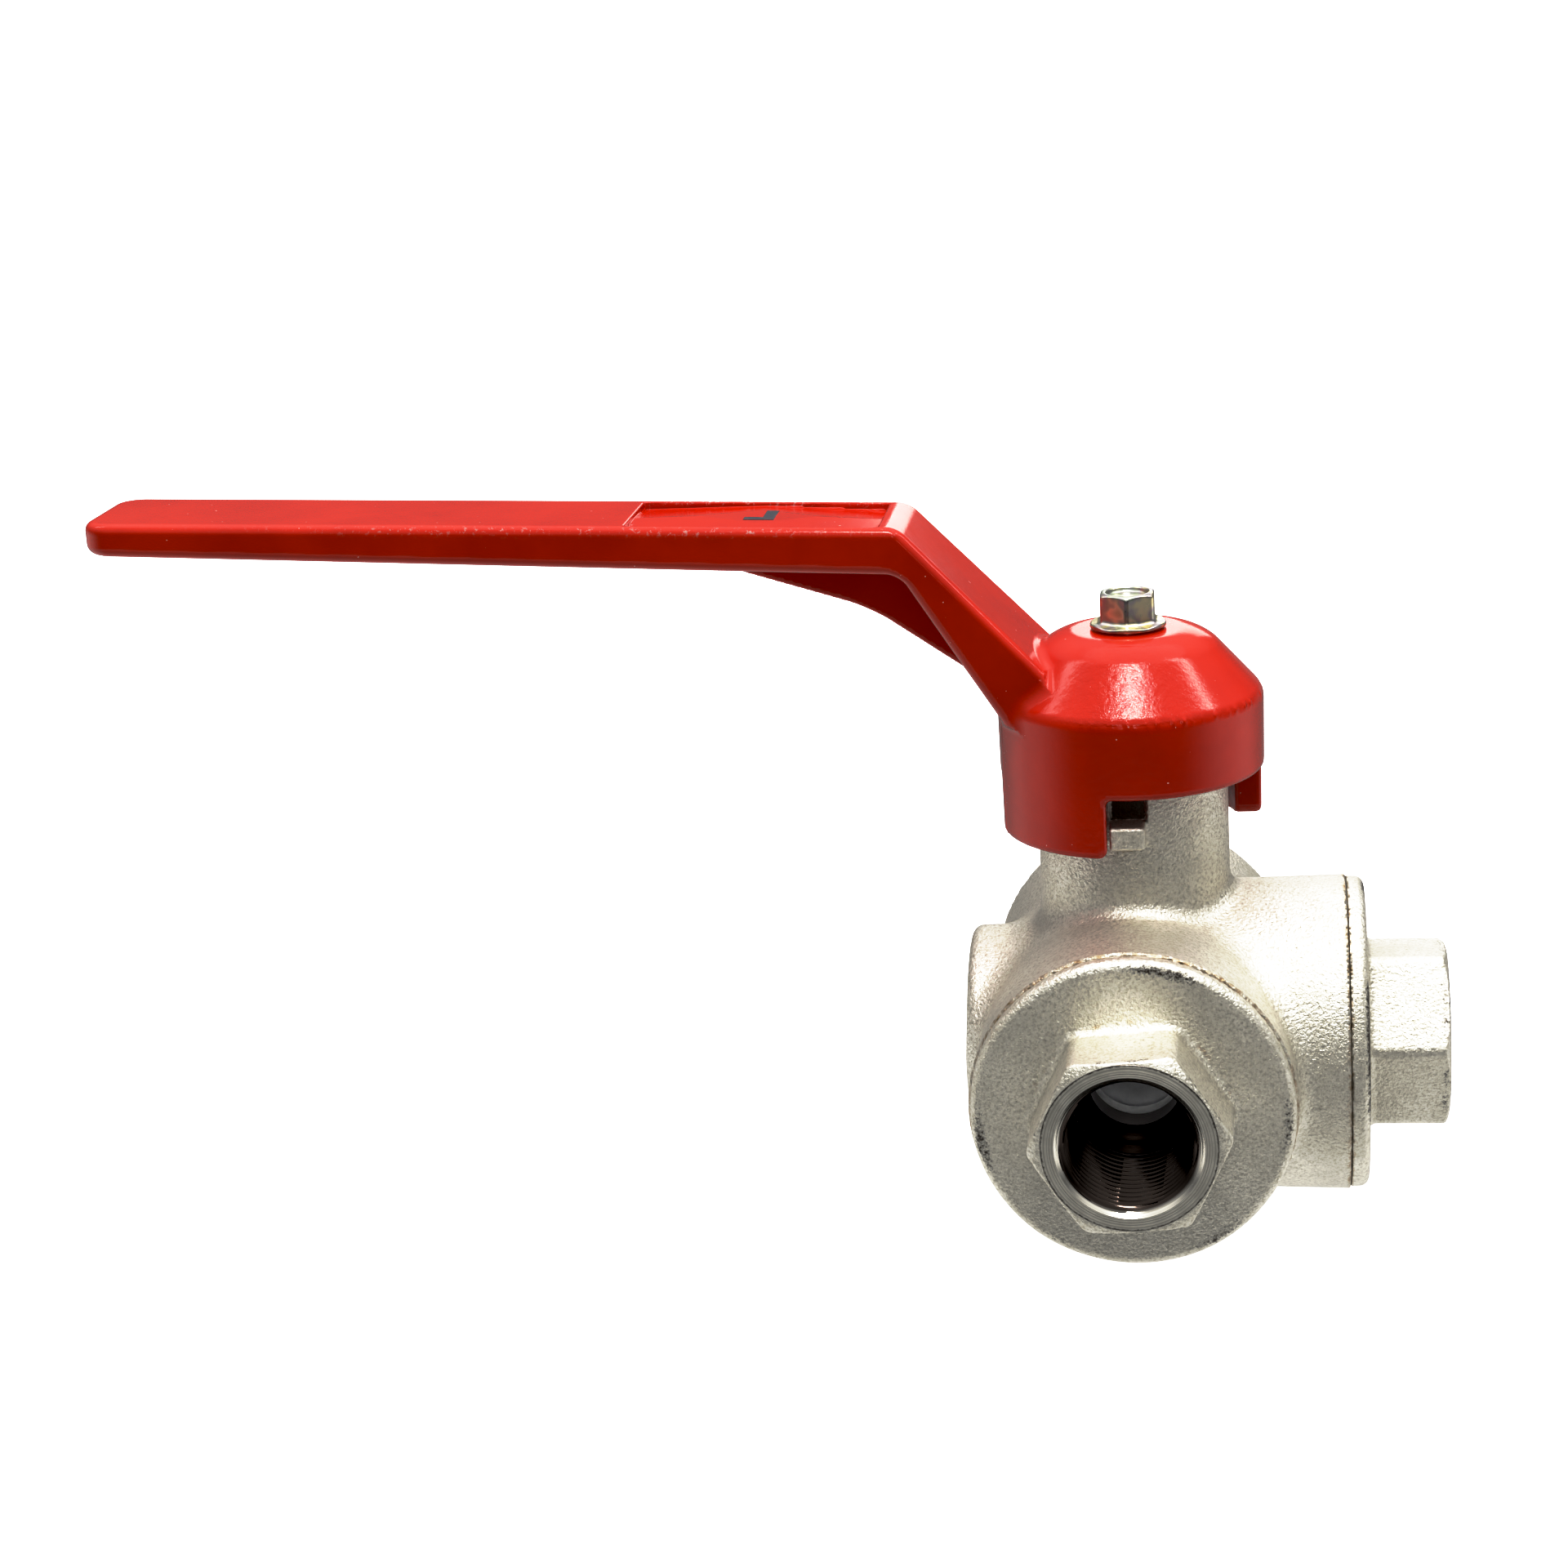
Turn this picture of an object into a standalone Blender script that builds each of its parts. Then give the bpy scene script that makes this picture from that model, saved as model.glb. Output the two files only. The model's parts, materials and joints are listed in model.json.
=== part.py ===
"""Three-way ball valve: forged body, three screwed end caps, L-bored ball and a cast lever.

The origin is where the port axes cross the stem axis. +X runs out of the right port, -Y out of the
front port, +Y out of the rear port and +Z up the stem. At rest the lever points along -X, over the
blind side of the body. Every length is in metres.
"""

import math

import bmesh
import bpy
from mathutils import Matrix, Vector

MM = 0.001
COLLECTION = "three_way_ball_valve"
GAP = 0.3 * MM              # clearance between a piece and its neighbour
CUT = 1.0 * MM              # how far a cutter runs past the face that it cuts
NUDGE = 0.05 * MM           # keeps two turned shapes that cross from having the same radius

# Ports: distances along a port axis are measured from the centre of the ball.
PORT_REACH = 46.85 * MM     # end face of a port
SEAM = 31.8 * MM            # joint between the body and an end cap
FLANGE_FACE = 34.6 * MM     # outer face of a cap's round flange
FLANGE_RADIUS = 23.8 * MM
FLANGE_ROUND = 1.3 * MM
HEX_FLATS = 26.0 * MM       # across the flats of a cap's hexagon
HEX_TURN = {"front": 4.0, "right": 22.8, "rear": 12.0}   # degrees, where each cap came to rest
HEX_CHAMFER_RADIUS = 13.14 * MM
HEX_CHAMFER = 1.5 * MM
HEX_CLEAR = HEX_FLATS * 0.62            # a radius outside the hexagon's corners
THREAD_RADIUS = 9.32 * MM   # minor radius of a G 1/2 female pipe thread
THREAD_END = 21.2 * MM      # floor of the threaded part and the relief behind it
MOUTH_RADIUS = 10.44 * MM
FLOW_RADIUS = 7.0 * MM

# Screwed-in part of a cap and the bore of the body that takes it.
SPIGOT_RADIUS = 19.5 * MM
SPIGOT_END = 20.9 * MM
SEAL_GROOVE = (28.2 * MM, 31.0 * MM)
SEAL_GROOVE_RADIUS = 17.3 * MM
SEAL_WIRE = 0.95 * MM       # radius of the ring's own section
NOSE_RADIUS = 15.4 * MM
NOSE_SHOULDER = 15.8 * MM   # where the nose starts its 45 degree taper
NOSE_TIP = 12.8 * MM

# Ball and seats.
BALL_RADIUS = 15.0 * MM
SEAT_RADIUS = 11.0 * MM
SEAT_BACK = 16.2 * MM
SEAT_LIP_RADIUS = 10.3 * MM
SEAT_LIP_CHAMFER = 0.3 * MM
CHAMBER_RADIUS = NOSE_RADIUS + GAP
SLOT_FLOOR = 10.5 * MM      # bottom of the slot in the ball that the stem's tang turns

# Forged body.
BARREL_RADIUS = 24.1 * MM   # at the seam
BARREL_WAIST = 23.4 * MM    # near the centre, after the draft
BARREL_CHAMFER = 0.4 * MM
BLIND_FACE = 25.56 * MM
BLIND_RADIUS = 16.8 * MM
BLIND_ROOT_RADIUS = 17.5 * MM
BLIND_ROUND = 1.4 * MM
NECK_RADIUS = 14.4 * MM
NECK_TOP = 48.0 * MM
STOP_WIDTH = 5.2 * MM
STOP_SHIFT = 0.25 * MM      # the front stop sits this far to the left of the stem axis
STOP_REACH = 18.3 * MM
STOP_HEIGHTS = (35.1 * MM, 38.6 * MM)

# Stem, its seals and the gland.
STEM_RADIUS = 6.0 * MM
STEM_TOP = 59.7 * MM
STEM_SQUARE = 8.0 * MM
SQUARE_START = 51.6 * MM
COLLAR_RADIUS = 7.8 * MM
COLLAR = (15.6 * MM, 18.5 * MM)
TANG = (5.0 * MM, 11.0 * MM)            # thickness and width
TANG_BOTTOM = SLOT_FLOOR + GAP
STEM_BORE = STEM_RADIUS + GAP
COLLAR_BORE = 8.3 * MM
COLLAR_BORE_TOP = 20.0 * MM
RING_RADIUS = COLLAR_BORE - GAP         # outer radius of the washer, the packing and the gland
STEM_RING_GROOVES = (24.0 * MM, 29.5 * MM)
STEM_RING_GROOVE_WIDTH = 2.1 * MM
STEM_RING_GROOVE_RADIUS = 4.2 * MM
STEM_RING_WIRE = 0.75 * MM
PACKING_FLOOR = 36.0 * MM
PACKING_THICKNESS = 2.4 * MM
GLAND_HEX_FLATS = 17.0 * MM
GLAND_TURN = 11.0           # degrees, where the gland nut came to rest
GLAND_TOP = 51.2 * MM

# Lever: one casting of hub, arm, grip and rib. Reach is measured from the stem axis.
HUB_TOP = 64.6 * MM
HUB_TOP_RADIUS = 11.3 * MM
HUB_TOP_ROUND = 1.2 * MM
HUB_RIM = 54.8 * MM         # where the cone ends and the skirt starts
HUB_RIM_RADIUS = 20.0 * MM
HUB_RIM_CHAMFER = 0.5 * MM
SKIRT_RADIUS = 19.75 * MM
SKIRT_BORE = 15.75 * MM
SKIRT_BOTTOM = 43.1 * MM
HUB_ROOF = 52.2 * MM        # underside of the hub, inside the skirt
HUB_ROOF_CHAMFER = 1.0 * MM
LUG_BOTTOM = 34.1 * MM
LUG_EDGE = 3.2 * MM         # distance of each lug's end faces from the two vertical centre planes
BEND_REACH = 33.1 * MM
BEND_TOP = 82.8 * MM
BEND_BOTTOM = 75.6 * MM
TIP_REACH = 158.2 * MM
TIP_TOP = 87.05 * MM
TIP_BOTTOM = 82.0 * MM
ARM_SLOPE = 1.047
ARM_ROOT_REACH = 12.0 * MM
ARM_FOOT = (18.2 * MM, 52.6 * MM)       # reach and height of the arm's lower end, inside the skirt
TIP_WIDTH = 21.5 * MM
BEND_WIDTH = 20.9 * MM
ARM_ROOT_WIDTH = 24.0 * MM
GRIP_ROUND = 1.3 * MM
TIP_CORNER = 5.0 * MM
RIB_WIDTH = 6.0 * MM
RIB_KNEE = (38.4 * MM, 69.2 * MM)
RIB_START = (63.7 * MM, 77.2 * MM)
RIB_END = (21.4 * MM, 57.4 * MM)
RIB_SINK = 3.0 * MM         # how far the rib reaches into the arm and the grip

# Marked recess in the top of the grip.
RECESS_REACH = 55.0 * MM
RECESS_LENGTH = 38.0 * MM
RECESS_WIDTH = 18.0 * MM
RECESS_DEPTH = 1.5 * MM
PAD_HALF_LENGTH = 9.2 * MM
PAD_HALF_WIDTH = 4.6 * MM
PAD_DEPTH = 0.3 * MM
PAD_FALL = 0.33 * MM        # drop of the facets for each pad size that they run outwards
FACET_REACH = 6.0           # how far the facets run out below the recess, in pad sizes
MARK_STROKE = 1.8 * MM
MARK_LEGS = (6.6 * MM, 4.6 * MM)        # across the lever, and along it towards the tip
MARK_CENTRE = (1.8 * MM, 0.6 * MM)      # middle of the cross leg, from the middle of the pad
MARK_THICKNESS = 0.5 * MM

# Bolt that holds the lever on the stem.
BOLT_FLATS = 8.0 * MM
BOLT_FLANGE_RADIUS = 5.75 * MM
BOLT_HEAD = 5.3 * MM
BOLT_TURN = 30.0            # degrees, where the bolt came to rest
BOLT_CHAMFER = 0.8 * MM
BOLT_CHAMFER_RADIUS = 3.76 * MM
FLANGE_CROWN = 2.2 * MM     # height of the bolt's flange at the hexagon, and at its edge
FLANGE_EDGE = 0.85 * MM
BOLT_SHANK = 2.5 * MM
BOLT_HOLE = BOLT_SHANK + GAP
BOLT_END = 50.5 * MM
BOLT_DISH_RADIUS = 3.1 * MM
BOLT_DISH = 0.7 * MM

FINE = 48                   # segments of a large turned shape
COARSE = 32                 # segments of a middling one
SMALL = 24                  # segments of a small one

# Which way each port points, as the rotation that turns +Z into the port's direction.
PORTS = {
    "front": Matrix.Rotation(math.radians(90), 4, "X"),
    "right": Matrix.Rotation(math.radians(90), 4, "Y"),
    "rear": Matrix.Rotation(math.radians(-90), 4, "X"),
}
BLIND = Matrix.Rotation(math.radians(-90), 4, "Y")


def spin(degrees):
    """A turn about a shape's own axis, which keeps its corners off those of the shape that it meets."""
    return Matrix.Rotation(math.radians(degrees), 4, "Z")


# ---------------------------------------------------------------- scene helpers

def clear_scene():
    for obj in list(bpy.data.objects):
        bpy.data.objects.remove(obj, do_unlink=True)


def make_collection(name):
    collection = bpy.data.collections.new(name)
    bpy.context.scene.collection.children.link(collection)
    return collection


def make_material(name, colour, roughness, metallic):
    material = bpy.data.materials.new(name)
    material.use_nodes = True
    shader = material.node_tree.nodes["Principled BSDF"]
    shader.inputs["Base Color"].default_value = (*colour, 1.0)
    shader.inputs["Roughness"].default_value = roughness
    shader.inputs["Metallic"].default_value = metallic
    material.diffuse_color = (*colour, 1.0)
    return material


def helper(mesh, name):
    """An object for a shape that only serves a Boolean."""
    obj = bpy.data.objects.new(name, mesh)
    cutters.objects.link(obj)
    obj.hide_render = True
    obj.display_type = "WIRE"
    return obj


def node(name, mesh, material, place=None, smooth=30):
    """A finished sub-part: its mesh gets the material and smooth shading below the given angle."""
    mesh = mesh.copy()
    mesh.name = name
    obj = bpy.data.objects.new(name, mesh)
    parts.objects.link(obj)
    mesh.materials.clear()
    mesh.materials.append(material)
    mesh.shade_smooth()
    mesh.set_sharp_from_angle(angle=math.radians(smooth))
    if place is not None:
        obj.matrix_world = place
    return obj


def evaluated(obj):
    """The mesh that an object's modifiers make, in the object's own space."""
    bpy.context.view_layer.update()
    graph = bpy.context.evaluated_depsgraph_get()
    return bpy.data.meshes.new_from_object(obj.evaluated_get(graph))


def moved(mesh, matrix):
    mesh = mesh.copy()
    mesh.transform(matrix)
    return mesh


def combine(mesh, *steps):
    """Applies Booleans in turn. Each step is (operation, mesh)."""
    base = helper(mesh, "base")
    for index, (operation, other) in enumerate(steps):
        modifier = base.modifiers.new(f"step_{index}", "BOOLEAN")
        modifier.operation = operation
        modifier.solver = "EXACT"
        modifier.object = helper(other, f"step_{index}")
    return evaluated(base)


# ---------------------------------------------------------------- shape helpers

def arc(centre_r, centre_z, radius, start, end, count):
    """Profile points on an arc, angles in degrees from +r towards +z."""
    angles = [math.radians(start + (end - start) * i / count) for i in range(count + 1)]
    return [(centre_r + radius * math.cos(a), centre_z + radius * math.sin(a)) for a in angles]


def turned(profile, segments, ring=False):
    """A profile of (radius, height) points, top to bottom on its outer side, turned about Z."""
    mesh = bpy.data.meshes.new("profile")
    edges = [(i, i + 1) for i in range(len(profile) - 1)]
    if ring:
        edges.append((len(profile) - 1, 0))
    mesh.from_pydata([(r, 0.0, z) for r, z in profile], edges, [])
    obj = helper(mesh, "turned")
    screw = obj.modifiers.new("turn", "SCREW")
    screw.steps = segments
    screw.render_steps = segments
    screw.use_merge_vertices = True
    screw.merge_threshold = 0.00001
    return evaluated(obj)


def rod(radius, low, high, segments=FINE):
    return turned([(0, high), (radius, high), (radius, low), (0, low)], segments)


def box(low, high):
    shape = bmesh.new()
    bmesh.ops.create_cube(shape, size=1.0)
    size = Vector(high) - Vector(low)
    bmesh.ops.scale(shape, verts=shape.verts, vec=size)
    bmesh.ops.translate(shape, verts=shape.verts, vec=Vector(low) + size / 2)
    return finished(shape)


def hexagon(across_flats, low, high, turn=0.0):
    """A hexagonal prism about Z, with a corner towards +X before it is turned."""
    shape = bmesh.new()
    corner = across_flats / 2 / math.cos(math.radians(30))
    bmesh.ops.create_cone(
        shape, cap_ends=True, segments=6, radius1=corner, radius2=corner, depth=high - low
    )
    angle = math.radians(turn + 30)
    bmesh.ops.rotate(shape, verts=shape.verts, matrix=Matrix.Rotation(angle, 3, "Z"))
    bmesh.ops.translate(shape, verts=shape.verts, vec=(0, 0, (low + high) / 2))
    return finished(shape)


def prism(outline, low, high):
    """An outline of (x, y) points, counter-clockwise, raised from low to high."""
    shape = bmesh.new()
    face = shape.faces.new([shape.verts.new((x, y, low)) for x, y in outline])
    grown = bmesh.ops.extrude_face_region(shape, geom=[face])["geom"]
    top = [item for item in grown if isinstance(item, bmesh.types.BMVert)]
    bmesh.ops.translate(shape, verts=top, vec=(0, 0, high - low))
    bmesh.ops.recalc_face_normals(shape, faces=shape.faces)
    return finished(shape)


def finished(shape):
    mesh = bpy.data.meshes.new("shape")
    shape.to_mesh(mesh)
    shape.free()
    return mesh


def ring_of_round_section(radius, height, wire):
    """An O-ring about Z: the section runs clockwise, so its outer side goes top to bottom."""
    section = arc(radius, height, wire, 90, -225, 7)
    return turned(section, COARSE, ring=True)


# ---------------------------------------------------------------- body and caps

def body_mesh():
    draft_barrel = [
        (0, SEAM),
        (BARREL_RADIUS - BARREL_CHAMFER, SEAM),
        (BARREL_RADIUS, SEAM - BARREL_CHAMFER),
        (BARREL_WAIST, 0),
    ]
    through_barrel = draft_barrel + [(r, -z) for r, z in reversed(draft_barrel[:-1])]
    front_to_rear = moved(turned(through_barrel, FINE), PORTS["rear"])
    short_barrel = draft_barrel[:-1] + [(BARREL_WAIST - NUDGE, -CUT), (0, -CUT)]
    right_barrel = moved(turned(short_barrel, FINE), PORTS["right"] @ spin(1.3))
    blind_boss = turned(
        [(0, BLIND_FACE)]
        + arc(BLIND_RADIUS - BLIND_ROUND, BLIND_FACE - BLIND_ROUND, BLIND_ROUND, 90, 0, 3)
        + [(BLIND_ROOT_RADIUS, 0), (0, 0)],
        FINE,
    )
    steps = [
        ("UNION", right_barrel),
        ("UNION", moved(blind_boss, BLIND @ spin(2.1))),
        ("UNION", rod(NECK_RADIUS, CUT, NECK_TOP)),
    ]
    for side in (-1, 1):
        low = (side * STOP_SHIFT - STOP_WIDTH / 2, min(0, side * STOP_REACH), STOP_HEIGHTS[0])
        high = (side * STOP_SHIFT + STOP_WIDTH / 2, max(0, side * STOP_REACH), STOP_HEIGHTS[1])
        steps.append(("UNION", box(low, high)))
    past_seam = SEAM + CUT
    chamber = rod(CHAMBER_RADIUS, -past_seam, past_seam)
    steps.append(("DIFFERENCE", moved(chamber, PORTS["rear"] @ spin(3.1))))
    chamber_arm = rod(CHAMBER_RADIUS - NUDGE, 2 * CUT, past_seam)
    steps.append(("DIFFERENCE", moved(chamber_arm, PORTS["right"] @ spin(4.7))))
    cap_bore = rod(SPIGOT_RADIUS + GAP, SPIGOT_END - GAP, past_seam)
    for index, turn in enumerate(PORTS.values()):
        steps.append(("DIFFERENCE", moved(cap_bore, turn @ spin(2.9 + index))))
    seat_bore = rod(SEAT_RADIUS + GAP, 3 * CUT, SEAT_BACK + GAP, COARSE)
    steps.append(("DIFFERENCE", moved(seat_bore, BLIND @ spin(1.9))))
    stem_bore = [
        (0, NECK_TOP + CUT), (COLLAR_BORE, NECK_TOP + CUT), (COLLAR_BORE, PACKING_FLOOR),
        (STEM_BORE, PACKING_FLOOR), (STEM_BORE, COLLAR_BORE_TOP), (COLLAR_BORE, COLLAR_BORE_TOP),
        (COLLAR_BORE, 4 * CUT), (0, 4 * CUT),
    ]
    steps.append(("DIFFERENCE", moved(turned(stem_bore, COARSE), spin(3.7))))
    return combine(front_to_rear, *steps)


def cap_mesh(turn):
    """An end cap about Z, with its port at the top. turn sets the hexagon, in degrees."""
    blank = turned(
        [(0, FLANGE_FACE)]
        + arc(FLANGE_RADIUS - FLANGE_ROUND, FLANGE_FACE - FLANGE_ROUND, FLANGE_ROUND, 90, 0, 3)
        + [
            (FLANGE_RADIUS, SEAM + GAP),
            (SPIGOT_RADIUS, SEAM + GAP),
            (SPIGOT_RADIUS, SEAL_GROOVE[1]),
            (SEAL_GROOVE_RADIUS, SEAL_GROOVE[1]),
            (SEAL_GROOVE_RADIUS, SEAL_GROOVE[0]),
            (SPIGOT_RADIUS, SEAL_GROOVE[0]),
            (SPIGOT_RADIUS, SPIGOT_END),
            (NOSE_RADIUS, SPIGOT_END),
            (NOSE_RADIUS, NOSE_SHOULDER),
            (NOSE_RADIUS - (NOSE_SHOULDER - NOSE_TIP), NOSE_TIP),
            (0, NOSE_TIP),
        ],
        FINE,
    )
    chamfer = turned(
        [
            (0, PORT_REACH),
            (HEX_CHAMFER_RADIUS, PORT_REACH),
            (HEX_CLEAR, PORT_REACH - HEX_CHAMFER),
            (HEX_CLEAR, SEAM),
            (0, SEAM),
        ],
        COARSE,
    )
    hexagonal_end = combine(
        hexagon(HEX_FLATS, FLANGE_FACE - CUT, PORT_REACH + CUT, turn), ("INTERSECT", chamfer)
    )
    mouth_depth = MOUTH_RADIUS - THREAD_RADIUS
    bore = turned(
        [
            (0, PORT_REACH + CUT),
            (MOUTH_RADIUS + CUT, PORT_REACH + CUT),
            (THREAD_RADIUS, PORT_REACH - mouth_depth),
            (THREAD_RADIUS, THREAD_END),
            (FLOW_RADIUS, THREAD_END),
            (FLOW_RADIUS, SEAT_BACK + GAP),
            (SEAT_RADIUS + GAP, SEAT_BACK + GAP),
            (SEAT_RADIUS + GAP, NOSE_TIP - CUT),
            (0, NOSE_TIP - CUT),
        ],
        COARSE,
    )
    return combine(blank, ("UNION", hexagonal_end), ("DIFFERENCE", bore))


def cap_seal_mesh():
    centre = SPIGOT_RADIUS - SEAL_WIRE
    return ring_of_round_section(centre, sum(SEAL_GROOVE) / 2, SEAL_WIRE)


def seat_mesh():
    """A seat ring about Z. Its inner end follows the ball, a gap away."""
    contact = BALL_RADIUS + GAP
    lip = math.degrees(math.acos(SEAT_LIP_RADIUS / contact))
    bore = math.degrees(math.acos(FLOW_RADIUS / contact))
    lip_height = contact * math.sin(math.radians(lip))
    profile = [(SEAT_RADIUS, SEAT_BACK), (SEAT_RADIUS, lip_height + SEAT_LIP_CHAMFER)]
    profile += arc(0, 0, contact, lip, bore, 3)
    profile += [(FLOW_RADIUS, SEAT_BACK)]
    return turned(profile, COARSE, ring=True)


# ---------------------------------------------------------------- ball and stem

def ball_mesh():
    sphere = turned(arc(0, 0, BALL_RADIUS, 90, -90, 16), COARSE)
    beyond = BALL_RADIUS + CUT
    right_arm = moved(rod(FLOW_RADIUS, 0, beyond, SMALL), PORTS["right"])
    elbow = FLOW_RADIUS - CUT   # the rear arm starts this far beyond the middle, to close the elbow
    rear_arm = moved(rod(FLOW_RADIUS - NUDGE, -elbow, beyond, SMALL), PORTS["rear"])
    half_slot = TANG[0] / 2 + GAP
    slot = box((-half_slot, -BALL_RADIUS, SLOT_FLOOR), (half_slot, BALL_RADIUS, beyond))
    return combine(sphere, ("DIFFERENCE", right_arm), ("DIFFERENCE", rear_arm), ("DIFFERENCE", slot))


def stem_mesh():
    profile = [(0, STEM_TOP), (STEM_RADIUS, STEM_TOP)]
    for low in reversed(STEM_RING_GROOVES):
        high = low + STEM_RING_GROOVE_WIDTH
        profile += [
            (STEM_RADIUS, high),
            (STEM_RING_GROOVE_RADIUS, high),
            (STEM_RING_GROOVE_RADIUS, low),
            (STEM_RADIUS, low),
        ]
    profile += [
        (STEM_RADIUS, COLLAR[1]),
        (COLLAR_RADIUS, COLLAR[1]),
        (COLLAR_RADIUS, COLLAR[0]),
        (0, COLLAR[0]),
    ]
    half = STEM_SQUARE / 2
    beyond = STEM_RADIUS + CUT
    above = STEM_TOP + CUT
    steps = []
    for side in (-1, 1):
        low, high = sorted((side * half, side * beyond))
        steps.append(("DIFFERENCE", box((low, -beyond, SQUARE_START), (high, beyond, above))))
        steps.append(("DIFFERENCE", box((-beyond, low, SQUARE_START), (beyond, high, above))))
    tang_low = (-TANG[0] / 2, -TANG[1] / 2, TANG_BOTTOM)
    tang_high = (TANG[0] / 2, TANG[1] / 2, COLLAR[0] + CUT)
    steps.append(("UNION", box(tang_low, tang_high)))
    steps.append(("DIFFERENCE", rod(BOLT_HOLE, BOLT_END - GAP, above, SMALL)))
    return combine(turned(profile, COARSE), *steps)


def flat_ring_mesh(outer, low, high):
    return turned(
        [(outer, high), (outer, low), (STEM_BORE, low), (STEM_BORE, high)], COARSE, ring=True
    )


def gland_nut_mesh(low):
    head = hexagon(GLAND_HEX_FLATS, NECK_TOP + GAP, GLAND_TOP, GLAND_TURN)
    sleeve = rod(RING_RADIUS, low, NECK_TOP + 2 * GAP, COARSE)
    bore = rod(STEM_BORE, low - CUT, GLAND_TOP + CUT, COARSE)
    return combine(head, ("UNION", sleeve), ("DIFFERENCE", bore))


# ---------------------------------------------------------------- lever

def hub_mesh():
    outside = [(0, HUB_TOP)]
    outside += arc(HUB_TOP_RADIUS - HUB_TOP_ROUND, HUB_TOP - HUB_TOP_ROUND, HUB_TOP_ROUND, 90, 45, 2)
    outside += [
        (HUB_RIM_RADIUS - HUB_RIM_CHAMFER, HUB_RIM + HUB_RIM_CHAMFER),
        (HUB_RIM_RADIUS, HUB_RIM - HUB_RIM_CHAMFER),
        (SKIRT_RADIUS, LUG_BOTTOM),
    ]
    inside = [
        (SKIRT_BORE, LUG_BOTTOM),
        (SKIRT_BORE, HUB_ROOF - HUB_ROOF_CHAMFER),
        (SKIRT_BORE - HUB_ROOF_CHAMFER, HUB_ROOF),
        (0, HUB_ROOF),
    ]
    return turned(outside + inside, FINE)


def between_lugs_mesh():
    """What is cut from the skirt's lower end, to leave a lug in two opposite quarters."""
    far = SKIRT_RADIUS + CUT
    edge = LUG_EDGE
    outline = [
        (-far, -edge), (-edge, -edge), (-edge, -far), (far, -far),
        (far, edge), (edge, edge), (edge, far), (-far, far),
    ]
    return prism(outline, LUG_BOTTOM - CUT, SKIRT_BOTTOM)


def lever_width(reach):
    if reach > BEND_REACH:
        share = (reach - BEND_REACH) / (TIP_REACH - BEND_REACH)
        return BEND_WIDTH + share * (TIP_WIDTH - BEND_WIDTH)
    share = (BEND_REACH - reach) / (BEND_REACH - ARM_ROOT_REACH)
    return BEND_WIDTH + share * (ARM_ROOT_WIDTH - BEND_WIDTH)


def side_outline(points, width):
    """A side view of (reach, height) points, given the width that belongs to each reach."""
    flat = prism([(-reach, height) for reach, height in points], 0.0, 1.0)
    for vertex in flat.vertices:
        reach, height, side = -vertex.co.x, vertex.co.y, vertex.co.z
        vertex.co = (-reach, (0.5 - side) * width(reach), height)
    return flat


def rounded(mesh, width, segments):
    """The mesh with every edge sharper than 25 degrees rounded."""
    obj = helper(mesh, "rounded")
    bevel = obj.modifiers.new("round", "BEVEL")
    bevel.width = width
    bevel.segments = segments
    bevel.limit_method = "ANGLE"
    bevel.angle_limit = math.radians(25)
    return evaluated(obj)


def grip_mesh():
    outline = [
        (ARM_ROOT_REACH, BEND_TOP - ARM_SLOPE * (BEND_REACH - ARM_ROOT_REACH)),
        ARM_FOOT,
        (BEND_REACH, BEND_BOTTOM),
        (TIP_REACH, TIP_BOTTOM),
        (TIP_REACH, TIP_TOP),
        (BEND_REACH, BEND_TOP),
    ]
    blank = side_outline(outline, lever_width)
    shape = bmesh.new()
    shape.from_mesh(blank)
    corners = [
        edge
        for edge in shape.edges
        if all(vertex.co.x < -TIP_REACH + CUT for vertex in edge.verts)
        and abs(edge.verts[0].co.z - edge.verts[1].co.z) > 2 * MM
    ]
    bmesh.ops.bevel(
        shape,
        geom=corners,
        offset=TIP_CORNER,
        segments=4,
        profile=0.5,
        affect="EDGES",
        clamp_overlap=False,
    )
    return rounded(finished(shape), GRIP_ROUND, 2)


def rib_mesh():
    """The rib. Its upper edge runs inside the arm and the grip."""
    inner_end = (RIB_END[0] + RIB_SINK / 2, RIB_END[1] + 2 * RIB_SINK)
    under_bend = (BEND_REACH + RIB_SINK / 2, BEND_BOTTOM + RIB_SINK)
    outer_end = (RIB_START[0], RIB_START[1] + RIB_SINK / 2)
    outline = [RIB_END, RIB_KNEE, RIB_START, outer_end, under_bend, inner_end]
    return side_outline(outline, lambda reach: RIB_WIDTH)


def grip_frame():
    """The plane of the grip's top face, at the middle of the recess."""
    slope = (TIP_TOP - BEND_TOP) / (TIP_REACH - BEND_REACH)
    height = BEND_TOP + slope * (RECESS_REACH - BEND_REACH)
    return Matrix.Translation((-RECESS_REACH, 0, height)) @ Matrix.Rotation(math.atan(slope), 4, "Y")


def recess_mesh():
    """The recess: a shallow box whose floor is a rhombic pyramid with a flat top."""
    half_length, half_width = RECESS_LENGTH / 2, RECESS_WIDTH / 2
    space = box((-half_length, -half_width, -RECESS_DEPTH), (half_length, half_width, 2 * CUT))
    drop = PAD_FALL * (FACET_REACH - 1)
    shape = bmesh.new()
    bmesh.ops.create_cone(
        shape, cap_ends=True, segments=4, radius1=FACET_REACH, radius2=1.0, depth=drop
    )
    bmesh.ops.scale(shape, verts=shape.verts, vec=(PAD_HALF_LENGTH, PAD_HALF_WIDTH, 1))
    bmesh.ops.translate(shape, verts=shape.verts, vec=(0, 0, -PAD_DEPTH - drop / 2))
    return combine(space, ("DIFFERENCE", finished(shape)))


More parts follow.
